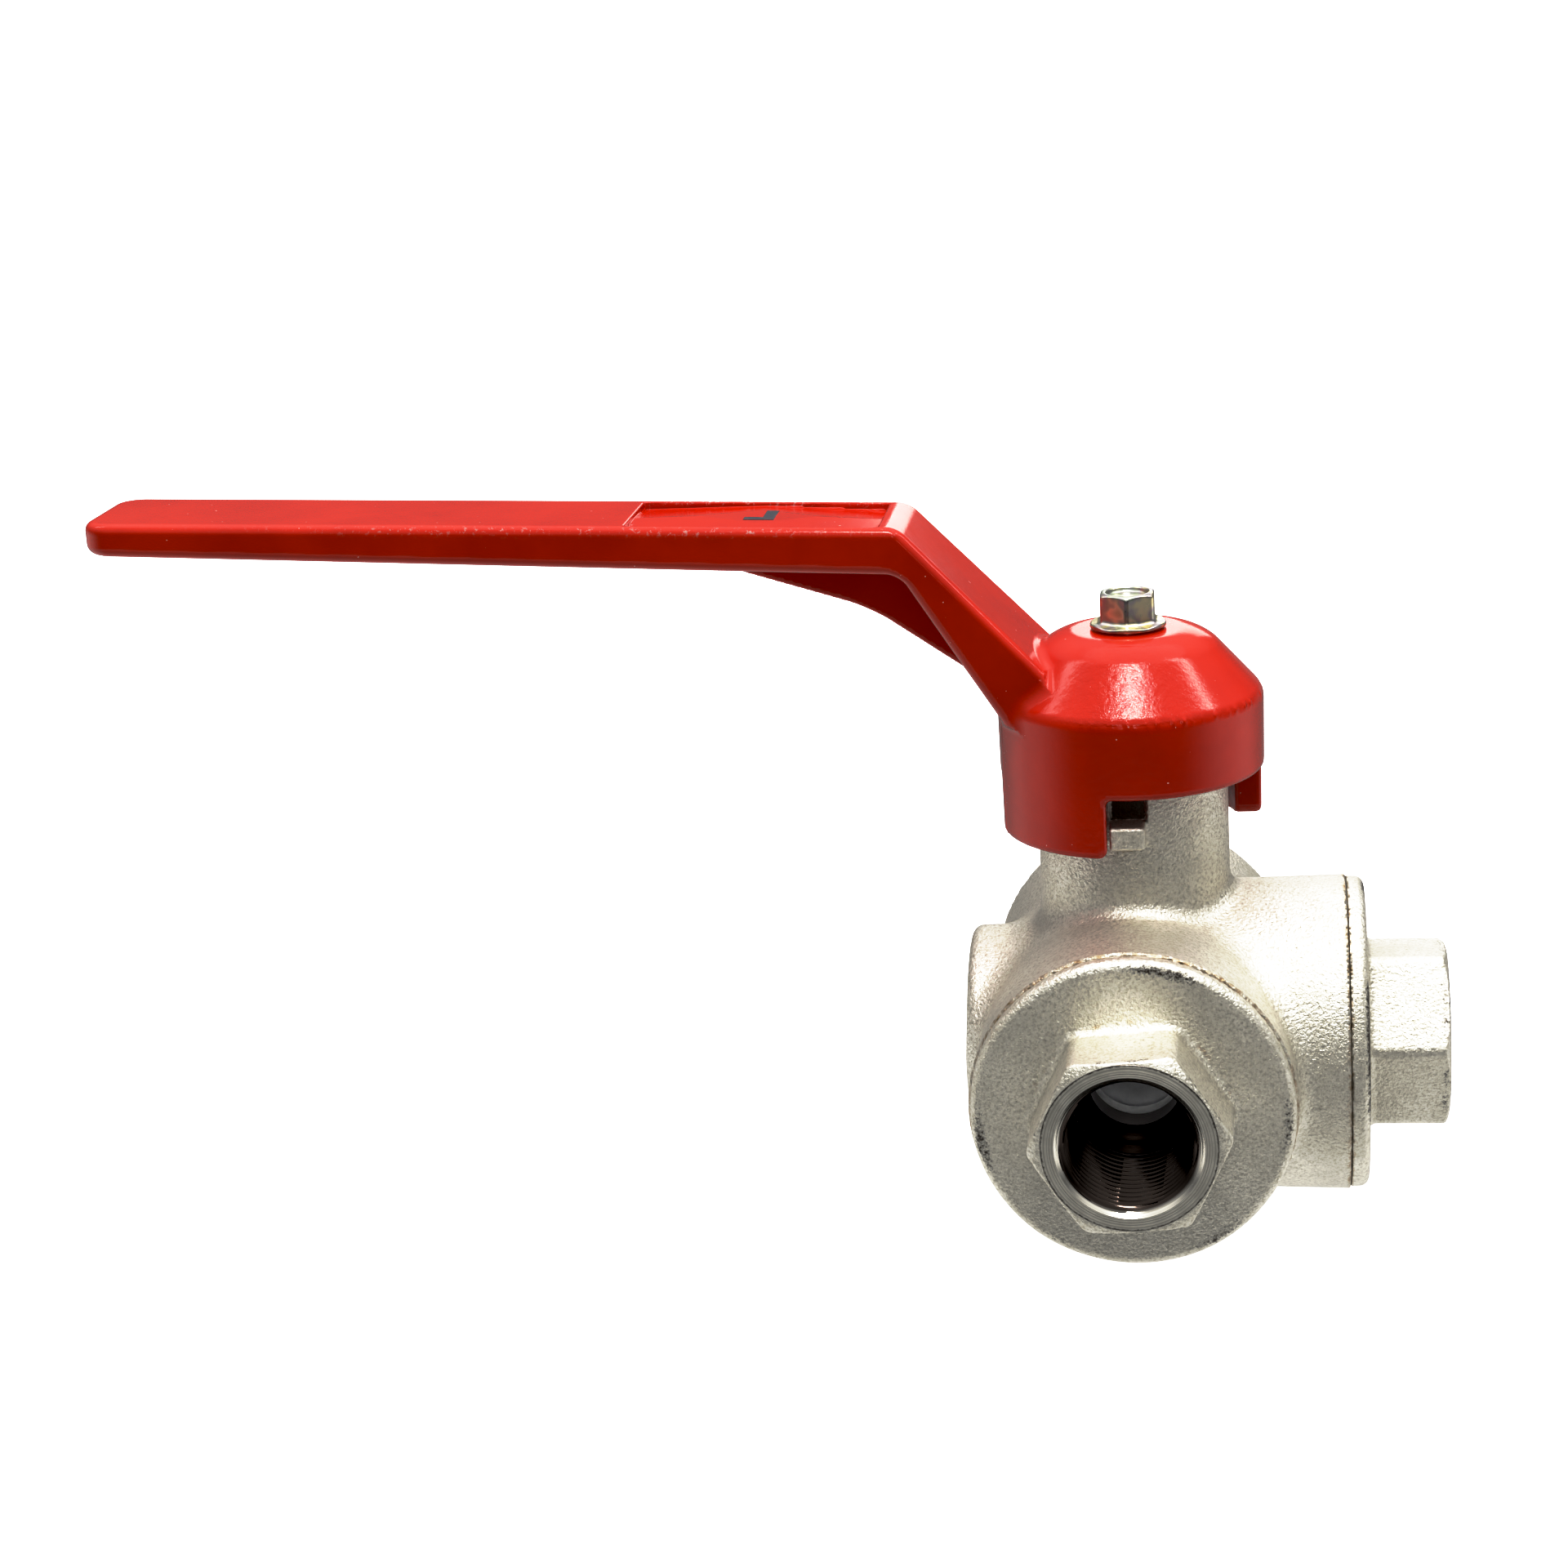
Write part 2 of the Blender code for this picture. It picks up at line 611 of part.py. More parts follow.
def mark_outline(grow):
    """An L lying on the pad: one leg across the lever, one along it towards the tip."""
    x, y = MARK_CENTRE
    across, along = MARK_LEGS
    right = x + MARK_STROKE / 2 + grow
    inner = x - MARK_STROKE / 2 - grow
    left = x + MARK_STROKE / 2 - along - grow
    near, far = y - across / 2 - grow, y + across / 2 + grow
    elbow = near + MARK_STROKE + 2 * grow
    return [(left, near), (right, near), (right, far), (inner, far), (inner, elbow), (left, elbow)]


def lever_mesh(place):
    square = STEM_SQUARE / 2 + GAP
    socket = box((-square, -square, HUB_ROOF - CUT), (square, square, STEM_TOP + GAP))
    mark_seat = prism(mark_outline(GAP), -PAD_DEPTH - MARK_THICKNESS - GAP, CUT)
    return combine(
        hub_mesh(),
        ("DIFFERENCE", between_lugs_mesh()),
        ("UNION", grip_mesh()),
        ("UNION", rib_mesh()),
        ("DIFFERENCE", rod(SKIRT_BORE, LUG_BOTTOM - CUT, HUB_ROOF - 2 * CUT)),
        ("DIFFERENCE", socket),
        ("DIFFERENCE", rod(BOLT_HOLE, STEM_TOP, HUB_TOP + CUT, SMALL)),
        ("DIFFERENCE", moved(recess_mesh(), place)),
        ("DIFFERENCE", moved(mark_seat, place)),
    )


def bolt_mesh():
    """A hexagon flange bolt with a dished head, standing on the hub."""
    seat = HUB_TOP + GAP
    top = seat + BOLT_HEAD
    flange = turned(
        [
            (0, seat + FLANGE_CROWN),
            (BOLT_FLATS / 2, seat + FLANGE_CROWN - GAP),
            (BOLT_FLANGE_RADIUS, seat + FLANGE_EDGE),
            (BOLT_FLANGE_RADIUS, seat),
            (BOLT_SHANK, seat),
            (BOLT_SHANK, BOLT_END),
            (0, BOLT_END),
        ],
        COARSE,
    )
    clear = BOLT_FLATS * 0.6    # a radius outside the hexagon's corners
    chamfer = turned(
        [
            (0, top),
            (BOLT_CHAMFER_RADIUS, top),
            (clear, top - BOLT_CHAMFER),
            (clear, seat),
            (0, seat),
        ],
        COARSE,
    )
    head = combine(hexagon(BOLT_FLATS, seat + FLANGE_EDGE, top + CUT, BOLT_TURN), ("INTERSECT", chamfer))
    dish = turned(
        [
            (0, top + CUT),
            (BOLT_DISH_RADIUS, top + CUT),
            (BOLT_DISH_RADIUS - BOLT_DISH, top - BOLT_DISH),
            (0, top - BOLT_DISH),
        ],
        SMALL,
    )
    return combine(flange, ("UNION", head), ("DIFFERENCE", dish))


# ---------------------------------------------------------------- assembly

def build_fixed_parts():
    node("valve_body", body_mesh(), nickel)
    seal = cap_seal_mesh()
    seat = seat_mesh()
    for side, turn in PORTS.items():
        node(f"end_cap_{side}", cap_mesh(HEX_TURN[side]), nickel, turn)
        node(f"cap_seal_{side}", seal, rubber, turn)
        node(f"seat_{side}", seat, ptfe, turn)
    node("seat_blind", seat, ptfe, BLIND)
    washer = flat_ring_mesh(RING_RADIUS, COLLAR[1] + GAP, COLLAR_BORE_TOP - GAP)
    node("stem_thrust_washer", washer, ptfe)
    low = PACKING_FLOOR + GAP
    for level in ("lower", "upper"):
        packing = flat_ring_mesh(RING_RADIUS, low, low + PACKING_THICKNESS)
        node(f"packing_ring_{level}", packing, ptfe)
        low += PACKING_THICKNESS + GAP
    node("gland_nut", gland_nut_mesh(low), brass)


def build_turning_parts():
    """Everything that turns with the lever hangs on one empty on the stem axis."""
    axis = bpy.data.objects.new("stem_axis", None)
    parts.objects.link(axis)
    grip = grip_frame()
    pieces = [
        node("ball", ball_mesh(), polished),
        node("stem", stem_mesh(), brass),
        node("lever", lever_mesh(grip), red_paint, smooth=35),
        node("lever_bolt", bolt_mesh(), yellow_zinc),
    ]
    for low, level in zip(STEM_RING_GROOVES, ("lower", "upper")):
        centre = STEM_RADIUS - STEM_RING_WIRE
        height = low + STEM_RING_GROOVE_WIDTH / 2
        ring = ring_of_round_section(centre, height, STEM_RING_WIRE)
        pieces.append(node(f"stem_o_ring_{level}", ring, rubber))
    mark = prism(mark_outline(0.0), -PAD_DEPTH - MARK_THICKNESS, -PAD_DEPTH)
    pieces.append(node("flow_mark", moved(mark, grip), dark_print))
    for piece in pieces:
        piece.parent = axis


clear_scene()
parts = make_collection(COLLECTION)
cutters = make_collection("cutters")
nickel = make_material("nickel_plated_brass", (0.60, 0.58, 0.54), 0.38, 1.0)
brass = make_material("brass", (0.72, 0.55, 0.28), 0.35, 1.0)
polished = make_material("polished_chrome", (0.75, 0.75, 0.76), 0.08, 1.0)
ptfe = make_material("ptfe", (0.88, 0.88, 0.85), 0.55, 0.0)
rubber = make_material("nitrile_rubber", (0.02, 0.02, 0.02), 0.7, 0.0)
red_paint = make_material("red_paint", (0.60, 0.02, 0.015), 0.22, 0.0)
yellow_zinc = make_material("yellow_zinc", (0.72, 0.60, 0.36), 0.28, 1.0)
dark_print = make_material("dark_print", (0.10, 0.13, 0.16), 0.5, 0.0)
build_fixed_parts()
build_turning_parts()
for leftover in list(cutters.objects):
    bpy.data.objects.remove(leftover, do_unlink=True)
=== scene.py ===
import json
import math
from functools import partial
from itertools import product

import bpy
import numpy as np
from mathutils import Matrix, Vector


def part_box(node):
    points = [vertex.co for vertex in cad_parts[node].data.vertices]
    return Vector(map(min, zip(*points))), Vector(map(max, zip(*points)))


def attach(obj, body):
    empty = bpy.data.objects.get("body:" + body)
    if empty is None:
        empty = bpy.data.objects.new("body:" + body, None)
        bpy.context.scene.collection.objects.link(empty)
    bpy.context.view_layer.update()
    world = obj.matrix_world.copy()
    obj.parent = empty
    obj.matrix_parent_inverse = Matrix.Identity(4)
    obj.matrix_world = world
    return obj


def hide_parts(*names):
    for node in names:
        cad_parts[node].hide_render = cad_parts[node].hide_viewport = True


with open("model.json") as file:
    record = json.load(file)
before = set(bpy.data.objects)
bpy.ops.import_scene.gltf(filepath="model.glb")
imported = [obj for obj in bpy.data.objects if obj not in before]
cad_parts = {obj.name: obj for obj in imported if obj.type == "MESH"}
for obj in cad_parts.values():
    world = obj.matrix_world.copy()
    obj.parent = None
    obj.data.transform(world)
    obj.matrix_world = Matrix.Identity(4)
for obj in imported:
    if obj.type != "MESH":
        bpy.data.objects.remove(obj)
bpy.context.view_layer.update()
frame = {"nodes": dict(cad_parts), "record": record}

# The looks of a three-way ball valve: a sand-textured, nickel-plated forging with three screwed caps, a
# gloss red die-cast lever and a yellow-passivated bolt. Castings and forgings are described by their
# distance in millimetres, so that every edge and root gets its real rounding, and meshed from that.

MM = 0.001


def box_mm(node):
    """The lowest and highest corner of a CAD node in millimetres."""
    low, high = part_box(node)
    return low / MM, high / MM


body_low, body_high = box_mm("valve_body")
cap_low, cap_high = box_mm("end_cap_front")
lever_low, lever_high = box_mm("lever")
bolt_low, bolt_high = box_mm("lever_bolt")

# ---------------------------------------------------------------- sizes in millimetres

SEAM = body_high.y          # joint between the body and a cap, from the centre of the ball
BARREL_RADIUS = -body_low.z
BARREL_WAIST = BARREL_RADIUS - 0.7
BLIND_FACE = -body_low.x
BLIND_RADIUS = 16.9
NECK_TOP = body_high.z
NECK_RADIUS = 14.4
NECK_ROUND = 0.4
NECK_FILLET = 2.6
BARREL_FILLET = 3.0
BOSS_ROUND, BOSS_DRAFT = 1.7, 0.02
SEAM_EDGE = 0.1
CLEARANCE = 0.3             # between a spigot and its socket
STEM_BORE = 6.3
GLAND_BORE = 8.3            # the wider bottom and top of the stem's bore
COLLAR_TOP, PACKING_FLOOR = 20, 36
STOP_HALF_WIDTH = 2.6
STOP_EDGE, STOP_FILLET = 0.4, 0.6
STOP_SHIFT = 0.25
STOP_REACH = 18.3
STOP_LOW, STOP_HIGH = 35.1, 38.6
MILLED_TOP = 43.5           # top of the milled patch above each stop
MILLED_DEPTH = 0.7

PORT_REACH = -cap_low.y
FLANGE_RADIUS = cap_high.x
FLANGE_FACE = 34.6
FLANGE_BACK = SEAM + 0.06
FLANGE_ROUND = 1.5
HEX_HALF = 13.0             # half of the width across the flats
HEX_EDGE = 0.9
HEX_FILLET = 1.3
HEX_TURN = {"front": 4.0, "right": 22.8, "rear": 12.0}
RIM_WEAR = {"front": (0.62, 3), "right": (0.8, 47), "rear": (0.62, 5)}   # darkness and seed of a worn edge
CHAMFER_RADIUS = 13.14
CHAMFER = (1.5, 2.98)       # normal of the end chamfer, outwards and along the port
SPIGOT_RADIUS, SPIGOT_END = 19.5, 20.9
NOSE_RADIUS, NOSE_TIP = 15.4, -cap_high.y
NOSE_TAPER = 12.4           # radius of the nose at its tip
SEAL_GROOVE, SEAL_GROOVE_RADIUS = (28.2, 31.0), 17.3
LINER_RADIUS = 12.0         # outer radius of the machined lining of a port
LIP_RADIUS = 12.75
THREAD_RADIUS = 9.32
THREAD_PITCH = 1.53
THREAD_DEPTH = 0.85
THREAD_FOOT = 26.4
THREAD_ROWS = 9             # rows of vertices in one turn of the thread
PORT_COLUMNS = 144
RELIEF_RADIUS = 9.8
RELIEF_FOOT = 21.2
MOUTH_RADIUS = 10.75
MOUTH_SLOPE = 0.95          # depth of the mouth's chamfer over its width
FLOW_RADIUS = 7.0
SEAT_POCKET = (11.3, 16.5)  # radius and depth of the pocket that holds a seat

BALL_RADIUS = 15.0
CHAMBER_RADIUS = 15.7
BORE_START = 6              # how far the ball's two bores reach past its centre
SLOT_HALF_WIDTH, SLOT_FLOOR = 2.8, 10.5

HUB_TOP, HUB_TOP_RADIUS, HUB_ROUND = 64.6, 11.3, 2.6
RIM_HEIGHT, RIM_RADIUS = 54.8, lever_high.x
RIM_ROUND, SKIRT_ROUND, SKIRT_DRAFT = 0.8, 0.9, 0.012
SKIRT_BOTTOM, SKIRT_BORE, HUB_ROOF = 43.1, 15.75, 52.2
LUG_BOTTOM, LUG_EDGE, LUG_ROUND = lever_low.z, 3.2, 1.4
FLASH_DEPTH, FLASH_WIDTH = 0.42, 0.5        # thin ragged metal that the mould left on the rim
PARTING_ANGLE, PARTING_WIDTH, PARTING_DEPTH = -163, 0.006, 0.08
SOCKET_HALF, SOCKET_TOP, BOLT_HOLE = 4.3, 60.0, 2.8
BEND_REACH, BEND_TOP, BEND_BOTTOM = 33.1, 82.8, 75.6
BEND_ROUND, BEND_FILLET = 1.2, 1.6
TIP_REACH, TIP_TOP, TIP_BOTTOM = -lever_low.x, lever_high.z, 82.0
ARM_SLOPE = 1.047
ARM_FOOT_REACH, ARM_FOOT = 18.2, 52.6
ARM_ROOT_REACH = 12.0
TIP_WIDTH, BEND_WIDTH, ARM_ROOT_WIDTH = 21.5, 20.9, 24.0
TIP_CORNER = 4.6
GRIP_ROUND = 1.5
ARM_FILLET = 1.5
RIB_HALF = 3.0
RIB_START, RIB_KNEE, RIB_END = (63.7, 77.2), (38.4, 69.2), (21.4, 57.4)
RIB_CEILING, RIB_INNER_END, RIB_SINK = 78.5, 18.5, 2.5
RECESS_REACH, RECESS_HALF_LENGTH, RECESS_HALF_WIDTH, RECESS_DEPTH = 55.0, 19.0, 9.0, 1.5
RECESS_CORNER, RECESS_EDGE = 0.8, 0.35
PAD_HALF_LENGTH, PAD_HALF_WIDTH, PAD_DEPTH, PAD_FALL = 9.2, 4.6, 0.34, 0.33

BOLT_TOP = bolt_high.z
BOLT_SEAT = HUB_TOP + 0.3    # the head stands on a low ring on top of the hub
PAD_RADIUS = 5.3
BOLT_HALF = 4.0
BOLT_FLANGE = bolt_high.x
BOLT_SHANK = 2.5
FLANGE_RISE, FLANGE_SLOPE, FLANGE_WAVE = 0.62, 0.16, 0.09
BOLT_CHAMFER_START, BOLT_CHAMFER = 3.85, (0.5, 0.87)
DISH_RADIUS, DISH_SLOPE, DISH_DEPTH = 3.2, 0.4, 0.8

# ---------------------------------------------------------------- distances


def length(*parts):
    return np.sqrt(sum(part * part for part in parts))


def both(a, b, edge=0.0):
    """What two solids share, with a round of that radius on the edge where they meet."""
    if edge == 0.0:
        return np.maximum(a, b)
    return np.minimum(-edge, np.maximum(a, b)) + length(np.maximum(a + edge, 0), np.maximum(b + edge, 0))


def join(a, b, fillet=0.0):
    """Two solids as one, with a fillet of that radius in the corner where they meet."""
    return -both(-a, -b, fillet)


def cut(a, b, edge=0.0):
    return both(a, -b, edge)


def between(value, low, high):
    return np.maximum(low - value, value - high)


def bump_curve(value, width):
    """1 at zero, falling smoothly to nothing within about twice the width."""
    return np.exp(-((value / width) ** 2))


def hexagon(x, y, half, turn, edge):
    """A hexagon with a corner at the angle turn, and its corners rounded."""
    shape = None
    for side in range(3):
        angle = math.radians(turn + 30 + 60 * side)
        flat = np.abs(x * math.cos(angle) + y * math.sin(angle)) - half
        shape = flat if shape is None else both(shape, flat, edge)
    return shape


def line(across, height, start, end):
    """Distance above the straight line through two points (across, height), positive on its left."""
    run, rise = end[0] - start[0], end[1] - start[1]
    return ((height - start[1]) * run - (across - start[0]) * rise) / math.hypot(run, rise)


def turned_noise(angle, seed, waves=9):
    """A smooth random curve round a circle, between about -1 and 1."""
    random = np.random.default_rng(seed)
    total = 0.0
    for wave in range(2, 2 + waves):
        total = total + random.uniform(0.4, 1.0) * np.sin(wave * angle + random.uniform(0, 2 * math.pi))
    return total / math.sqrt(waves)


def body_distance(x, y, z):
    """The forging: two crossing barrels, a blind boss, the stem's neck and its two stops."""
    along = np.abs(y)
    radius = BARREL_WAIST + (BARREL_RADIUS - BARREL_WAIST) * along / SEAM
    through = both(length(x, z) - radius, along - SEAM, SEAM_EDGE)
    radius = BARREL_WAIST + (BARREL_RADIUS - BARREL_WAIST) * x / SEAM
    right = both(length(y, z) - radius, between(x, 0, SEAM), SEAM_EDGE)
    boss = length(y, z) - BLIND_RADIUS - BOSS_DRAFT * (x + BLIND_FACE)
    boss = both(boss, between(-x, 0, BLIND_FACE), BOSS_ROUND)
    neck = both(length(x, y) - NECK_RADIUS, between(z, 0, NECK_TOP), NECK_ROUND)
    outer = join(through, right, BARREL_FILLET)
    outer = join(outer, boss, BARREL_FILLET)
    outer = join(outer, neck, NECK_FILLET)
    for side in (-1, 1):
        slot = np.abs(x - side * STOP_SHIFT) - STOP_HALF_WIDTH
        stop = both(slot, between(side * y, 0, STOP_REACH), STOP_EDGE)
        stop = both(stop, between(z, STOP_LOW, STOP_HIGH), STOP_EDGE)
        outer = join(outer, stop, STOP_FILLET)
        patch = both(slot, between(z, STOP_HIGH, MILLED_TOP))
        patch = both(patch, NECK_RADIUS - MILLED_DEPTH - side * y)
        outer = cut(outer, patch, 0.15)
    chamber = np.minimum(length(x, z) - CHAMBER_RADIUS, both(length(y, z) - CHAMBER_RADIUS, -x))
    wide, floor = SPIGOT_RADIUS + CLEARANCE, SPIGOT_END - CLEARANCE
    sockets = both(length(x, z) - wide, floor - along)
    sockets = np.minimum(sockets, both(length(y, z) - wide, floor - x))
    pocket = both(length(y, z) - SEAT_POCKET[0], between(-x, 0, SEAT_POCKET[1]))
    stem = length(x, y)
    stem_bore = both(stem - STEM_BORE, -z)
    stem_bore = np.minimum(stem_bore, both(stem - GLAND_BORE, between(z, 0, COLLAR_TOP)))
    stem_bore = np.minimum(stem_bore, both(stem - GLAND_BORE, PACKING_FLOOR - z))
    hollow = np.minimum(np.minimum(chamber, sockets), np.minimum(pocket, stem_bore))
    return cut(outer, hollow)


def cap_distance(turn, x, y, z):
    """An end cap with its port along +Z, without the machined lining of the port."""
    across = length(x, y)
    angle = np.arctan2(y, x)
    radius = FLANGE_RADIUS - 0.05 + 0.05 * turned_noise(angle, 4)
    flange = both(across - radius, z - FLANGE_FACE, FLANGE_ROUND)
    flange = both(flange, FLANGE_BACK - z, 0.08)
    hexagonal = hexagon(x, y, HEX_HALF, turn, HEX_EDGE)
    hexagonal = both(hexagonal, between(z, SEAM + 1, PORT_REACH - 0.05), 0.2)
    chamfer = (across - CHAMFER_RADIUS) * CHAMFER[0] + (z - PORT_REACH) * CHAMFER[1]
    hexagonal = both(hexagonal, chamfer / math.hypot(*CHAMFER), 0.25)
    outer = join(flange, hexagonal, HEX_FILLET)
    spigot = both(across - SPIGOT_RADIUS, between(z, SPIGOT_END, SEAM + 1))
    nose = both(across - NOSE_RADIUS, between(z, NOSE_TIP, SPIGOT_END + 1))
    nose = both(nose, (across - z + NOSE_TIP - NOSE_TAPER) * math.sqrt(0.5))
    groove = both(SEAL_GROOVE_RADIUS - across, between(z, *SEAL_GROOVE))
    outer = join(outer, cut(np.minimum(spigot, nose), groove))
    return cut(outer, across - LINER_RADIUS + 0.1)


def ball_distance(x, y, z):
    """The ball with its L-shaped bore towards +X and +Y and the slot for the stem."""
    right = both(length(y, z) - FLOW_RADIUS, -x - BORE_START)
    rear = both(length(x, z) - FLOW_RADIUS, -y - BORE_START)
    slot = both(np.abs(x) - SLOT_HALF_WIDTH, SLOT_FLOOR - z)
    hollow = np.minimum(np.minimum(right, rear), slot)
    return cut(length(x, y, z) - BALL_RADIUS, hollow, 0.3)


def lever_width(reach):
    """Full width of the grip or the arm at a reach from the stem."""
    outer = (np.maximum(reach, BEND_REACH) - BEND_REACH) / (TIP_REACH - BEND_REACH)
    inner = (BEND_REACH - np.minimum(reach, BEND_REACH)) / (BEND_REACH - ARM_ROOT_REACH)
    return BEND_WIDTH + outer * (TIP_WIDTH - BEND_WIDTH) + inner * (ARM_ROOT_WIDTH - BEND_WIDTH)


def grip_top(reach, z):
    """Height above the plane of the grip's top face."""
    return line(reach, z, (BEND_REACH, BEND_TOP), (TIP_REACH, TIP_TOP))


def handle_distance(reach, y, z):
    """The grip and the sloping arm, with every long edge rounded."""
    arm_top = (ARM_ROOT_REACH, BEND_TOP - ARM_SLOPE * (BEND_REACH - ARM_ROOT_REACH))
    top = both(grip_top(reach, z), line(reach, z, arm_top, (BEND_REACH, BEND_TOP)), BEND_ROUND)
    grip_under = -line(reach, z, (BEND_REACH, BEND_BOTTOM), (TIP_REACH, TIP_BOTTOM))
    arm_under = -line(reach, z, (ARM_FOOT_REACH, ARM_FOOT), (BEND_REACH, BEND_BOTTOM))
    profile = both(top, join(grip_under, arm_under, BEND_FILLET))
    plan = both(np.abs(y) - lever_width(reach) / 2, reach - TIP_REACH, TIP_CORNER)
    handle = both(profile, plan, GRIP_ROUND)
    return both(handle, np.maximum(ARM_ROOT_REACH - reach, ARM_FOOT - z))


def rib_distance(reach, y, z):
    """The rib under the bend: straight from the grip to its knee, then down to the skirt."""
    under = join(-line(reach, z, RIB_KNEE, RIB_START), -line(reach, z, RIB_END, RIB_KNEE), 1.0)
    above = np.maximum(z - RIB_CEILING, RIB_INNER_END - reach)
    above = both(above, z - BEND_TOP + RIB_SINK + ARM_SLOPE * (BEND_REACH - reach))
    return both(both(np.abs(y) - RIB_HALF, under, 0.7), above)


def hub_distance(x, y, z):
    """The hub: a cone over a skirt whose two lugs meet the body's stops."""
    across = length(x, y)
    angle = np.arctan2(y, x)
    front_right = np.clip(np.cos(angle + math.radians(50)) - 0.35, 0, 1)
    ragged = np.clip(turned_noise(9 * angle, 11), 0, 1) * front_right
    flash = FLASH_DEPTH * ragged * bump_curve(z - RIM_HEIGHT + 0.1, FLASH_WIDTH)
    cone = -line(across, z, (RIM_RADIUS, RIM_HEIGHT), (HUB_TOP_RADIUS, HUB_TOP))
    hub = both(cone, z - HUB_TOP, HUB_ROUND)
    pad = both(across - PAD_RADIUS, between(z, HUB_TOP - 3, BOLT_SEAT - 0.02), 0.12)
    hub = join(hub, pad, 0.15)
    skirt = across - RIM_RADIUS - SKIRT_DRAFT * (z - RIM_HEIGHT)
    hub = both(hub, skirt, RIM_ROUND) - flash
    quarter = np.minimum(np.maximum(x, y), np.maximum(-x, -y)) + LUG_EDGE
    lug = both(quarter, LUG_BOTTOM - z, LUG_ROUND)
    foot = join(SKIRT_BOTTOM - z, lug, SKIRT_ROUND)
    hub = both(hub, foot, SKIRT_ROUND)
    parting_line = bump_curve(angle - math.radians(PARTING_ANGLE), PARTING_WIDTH)
    return hub - PARTING_DEPTH * parting_line * (across > 18) * (z < RIM_HEIGHT)


def recess_distance(reach, y, z):
    """The space of the recess in the grip, over a floor that rises to a small rhombic pad."""
    height = grip_top(reach, z)
    along = reach - RECESS_REACH
    steps = np.abs(along) / PAD_HALF_LENGTH + np.abs(y) / PAD_HALF_WIDTH - 1
    floor = np.minimum(PAD_DEPTH + PAD_FALL * np.maximum(steps, 0), RECESS_DEPTH)
    outline = both(np.abs(along) - RECESS_HALF_LENGTH, np.abs(y) - RECESS_HALF_WIDTH, RECESS_CORNER)
    return both(outline, -height - floor)


def lever_distance(x, y, z):
    """The whole lever casting."""
    reach = -x
    across = length(x, y)
    lever = join(hub_distance(x, y, z), handle_distance(reach, y, z), ARM_FILLET)
    lever = join(lever, rib_distance(reach, y, z), 1.0)
    inside = both(across - SKIRT_BORE, z - HUB_ROOF, 1.0)
    socket = both(np.maximum(np.abs(x), np.abs(y)) - SOCKET_HALF, z - SOCKET_TOP)
    lever = cut(lever, np.minimum(inside, socket), 0.4)
    lever = cut(lever, across - BOLT_HOLE, 0.2)
    return cut(lever, recess_distance(reach, y, z), RECESS_EDGE)


def bolt_distance(x, y, z):
    """A flange bolt with a dished hexagon head and a slightly wavy flange."""
    across = length(x, y)
    angle = np.arctan2(y, x)
    rim = BOLT_FLANGE - 0.04 + 0.06 * turned_noise(angle, 7, 5)
    slope = (z - BOLT_SEAT - FLANGE_RISE) + (across - rim) * FLANGE_SLOPE
    slope = slope + FLANGE_WAVE * np.sin(6 * angle + 1.5)
    flange = both(both(across - rim, slope, 0.2), BOLT_SEAT - z, 0.2)
    head = both(hexagon(x, y, BOLT_HALF, 30.0, 0.35), z - BOLT_TOP, 0.3)
    chamfer = (across - BOLT_CHAMFER_START) * BOLT_CHAMFER[0] + (z - BOLT_TOP) * BOLT_CHAMFER[1]
    head = both(head, chamfer, 0.25)
    head = both(head, BOLT_SEAT - z)
    bolt = join(flange, head, 0.6)
    dish = across - DISH_RADIUS - DISH_SLOPE * (z - BOLT_TOP)
    dish = both(dish, BOLT_TOP - DISH_DEPTH - z, 0.3)
    bolt = cut(bolt, dish, 0.25)
    shank = both(across - BOLT_SHANK, between(z, bolt_low.z, BOLT_SEAT + 1), 0.3)
    return join(bolt, shank)


# ---------------------------------------------------------------- meshes

BODY_STEP, CASTING_STEP, BOLT_STEP = 0.6, 0.45, 0.15       # grid sizes, in millimetres
GRADIENT_STEP = 0.01
NEWTON_STEPS = 4


def slope_at(distance, points):
    """The distance at some points, and its gradient there."""
    gradient = np.empty_like(points)
    for axis in range(3):
        shift = np.zeros(3)
        shift[axis] = GRADIENT_STEP
        ahead = distance(*(points + shift).T)
        behind = distance(*(points - shift).T)
        gradient[:, axis] = (ahead - behind) / (2 * GRADIENT_STEP)
    return distance(*points.T), gradient


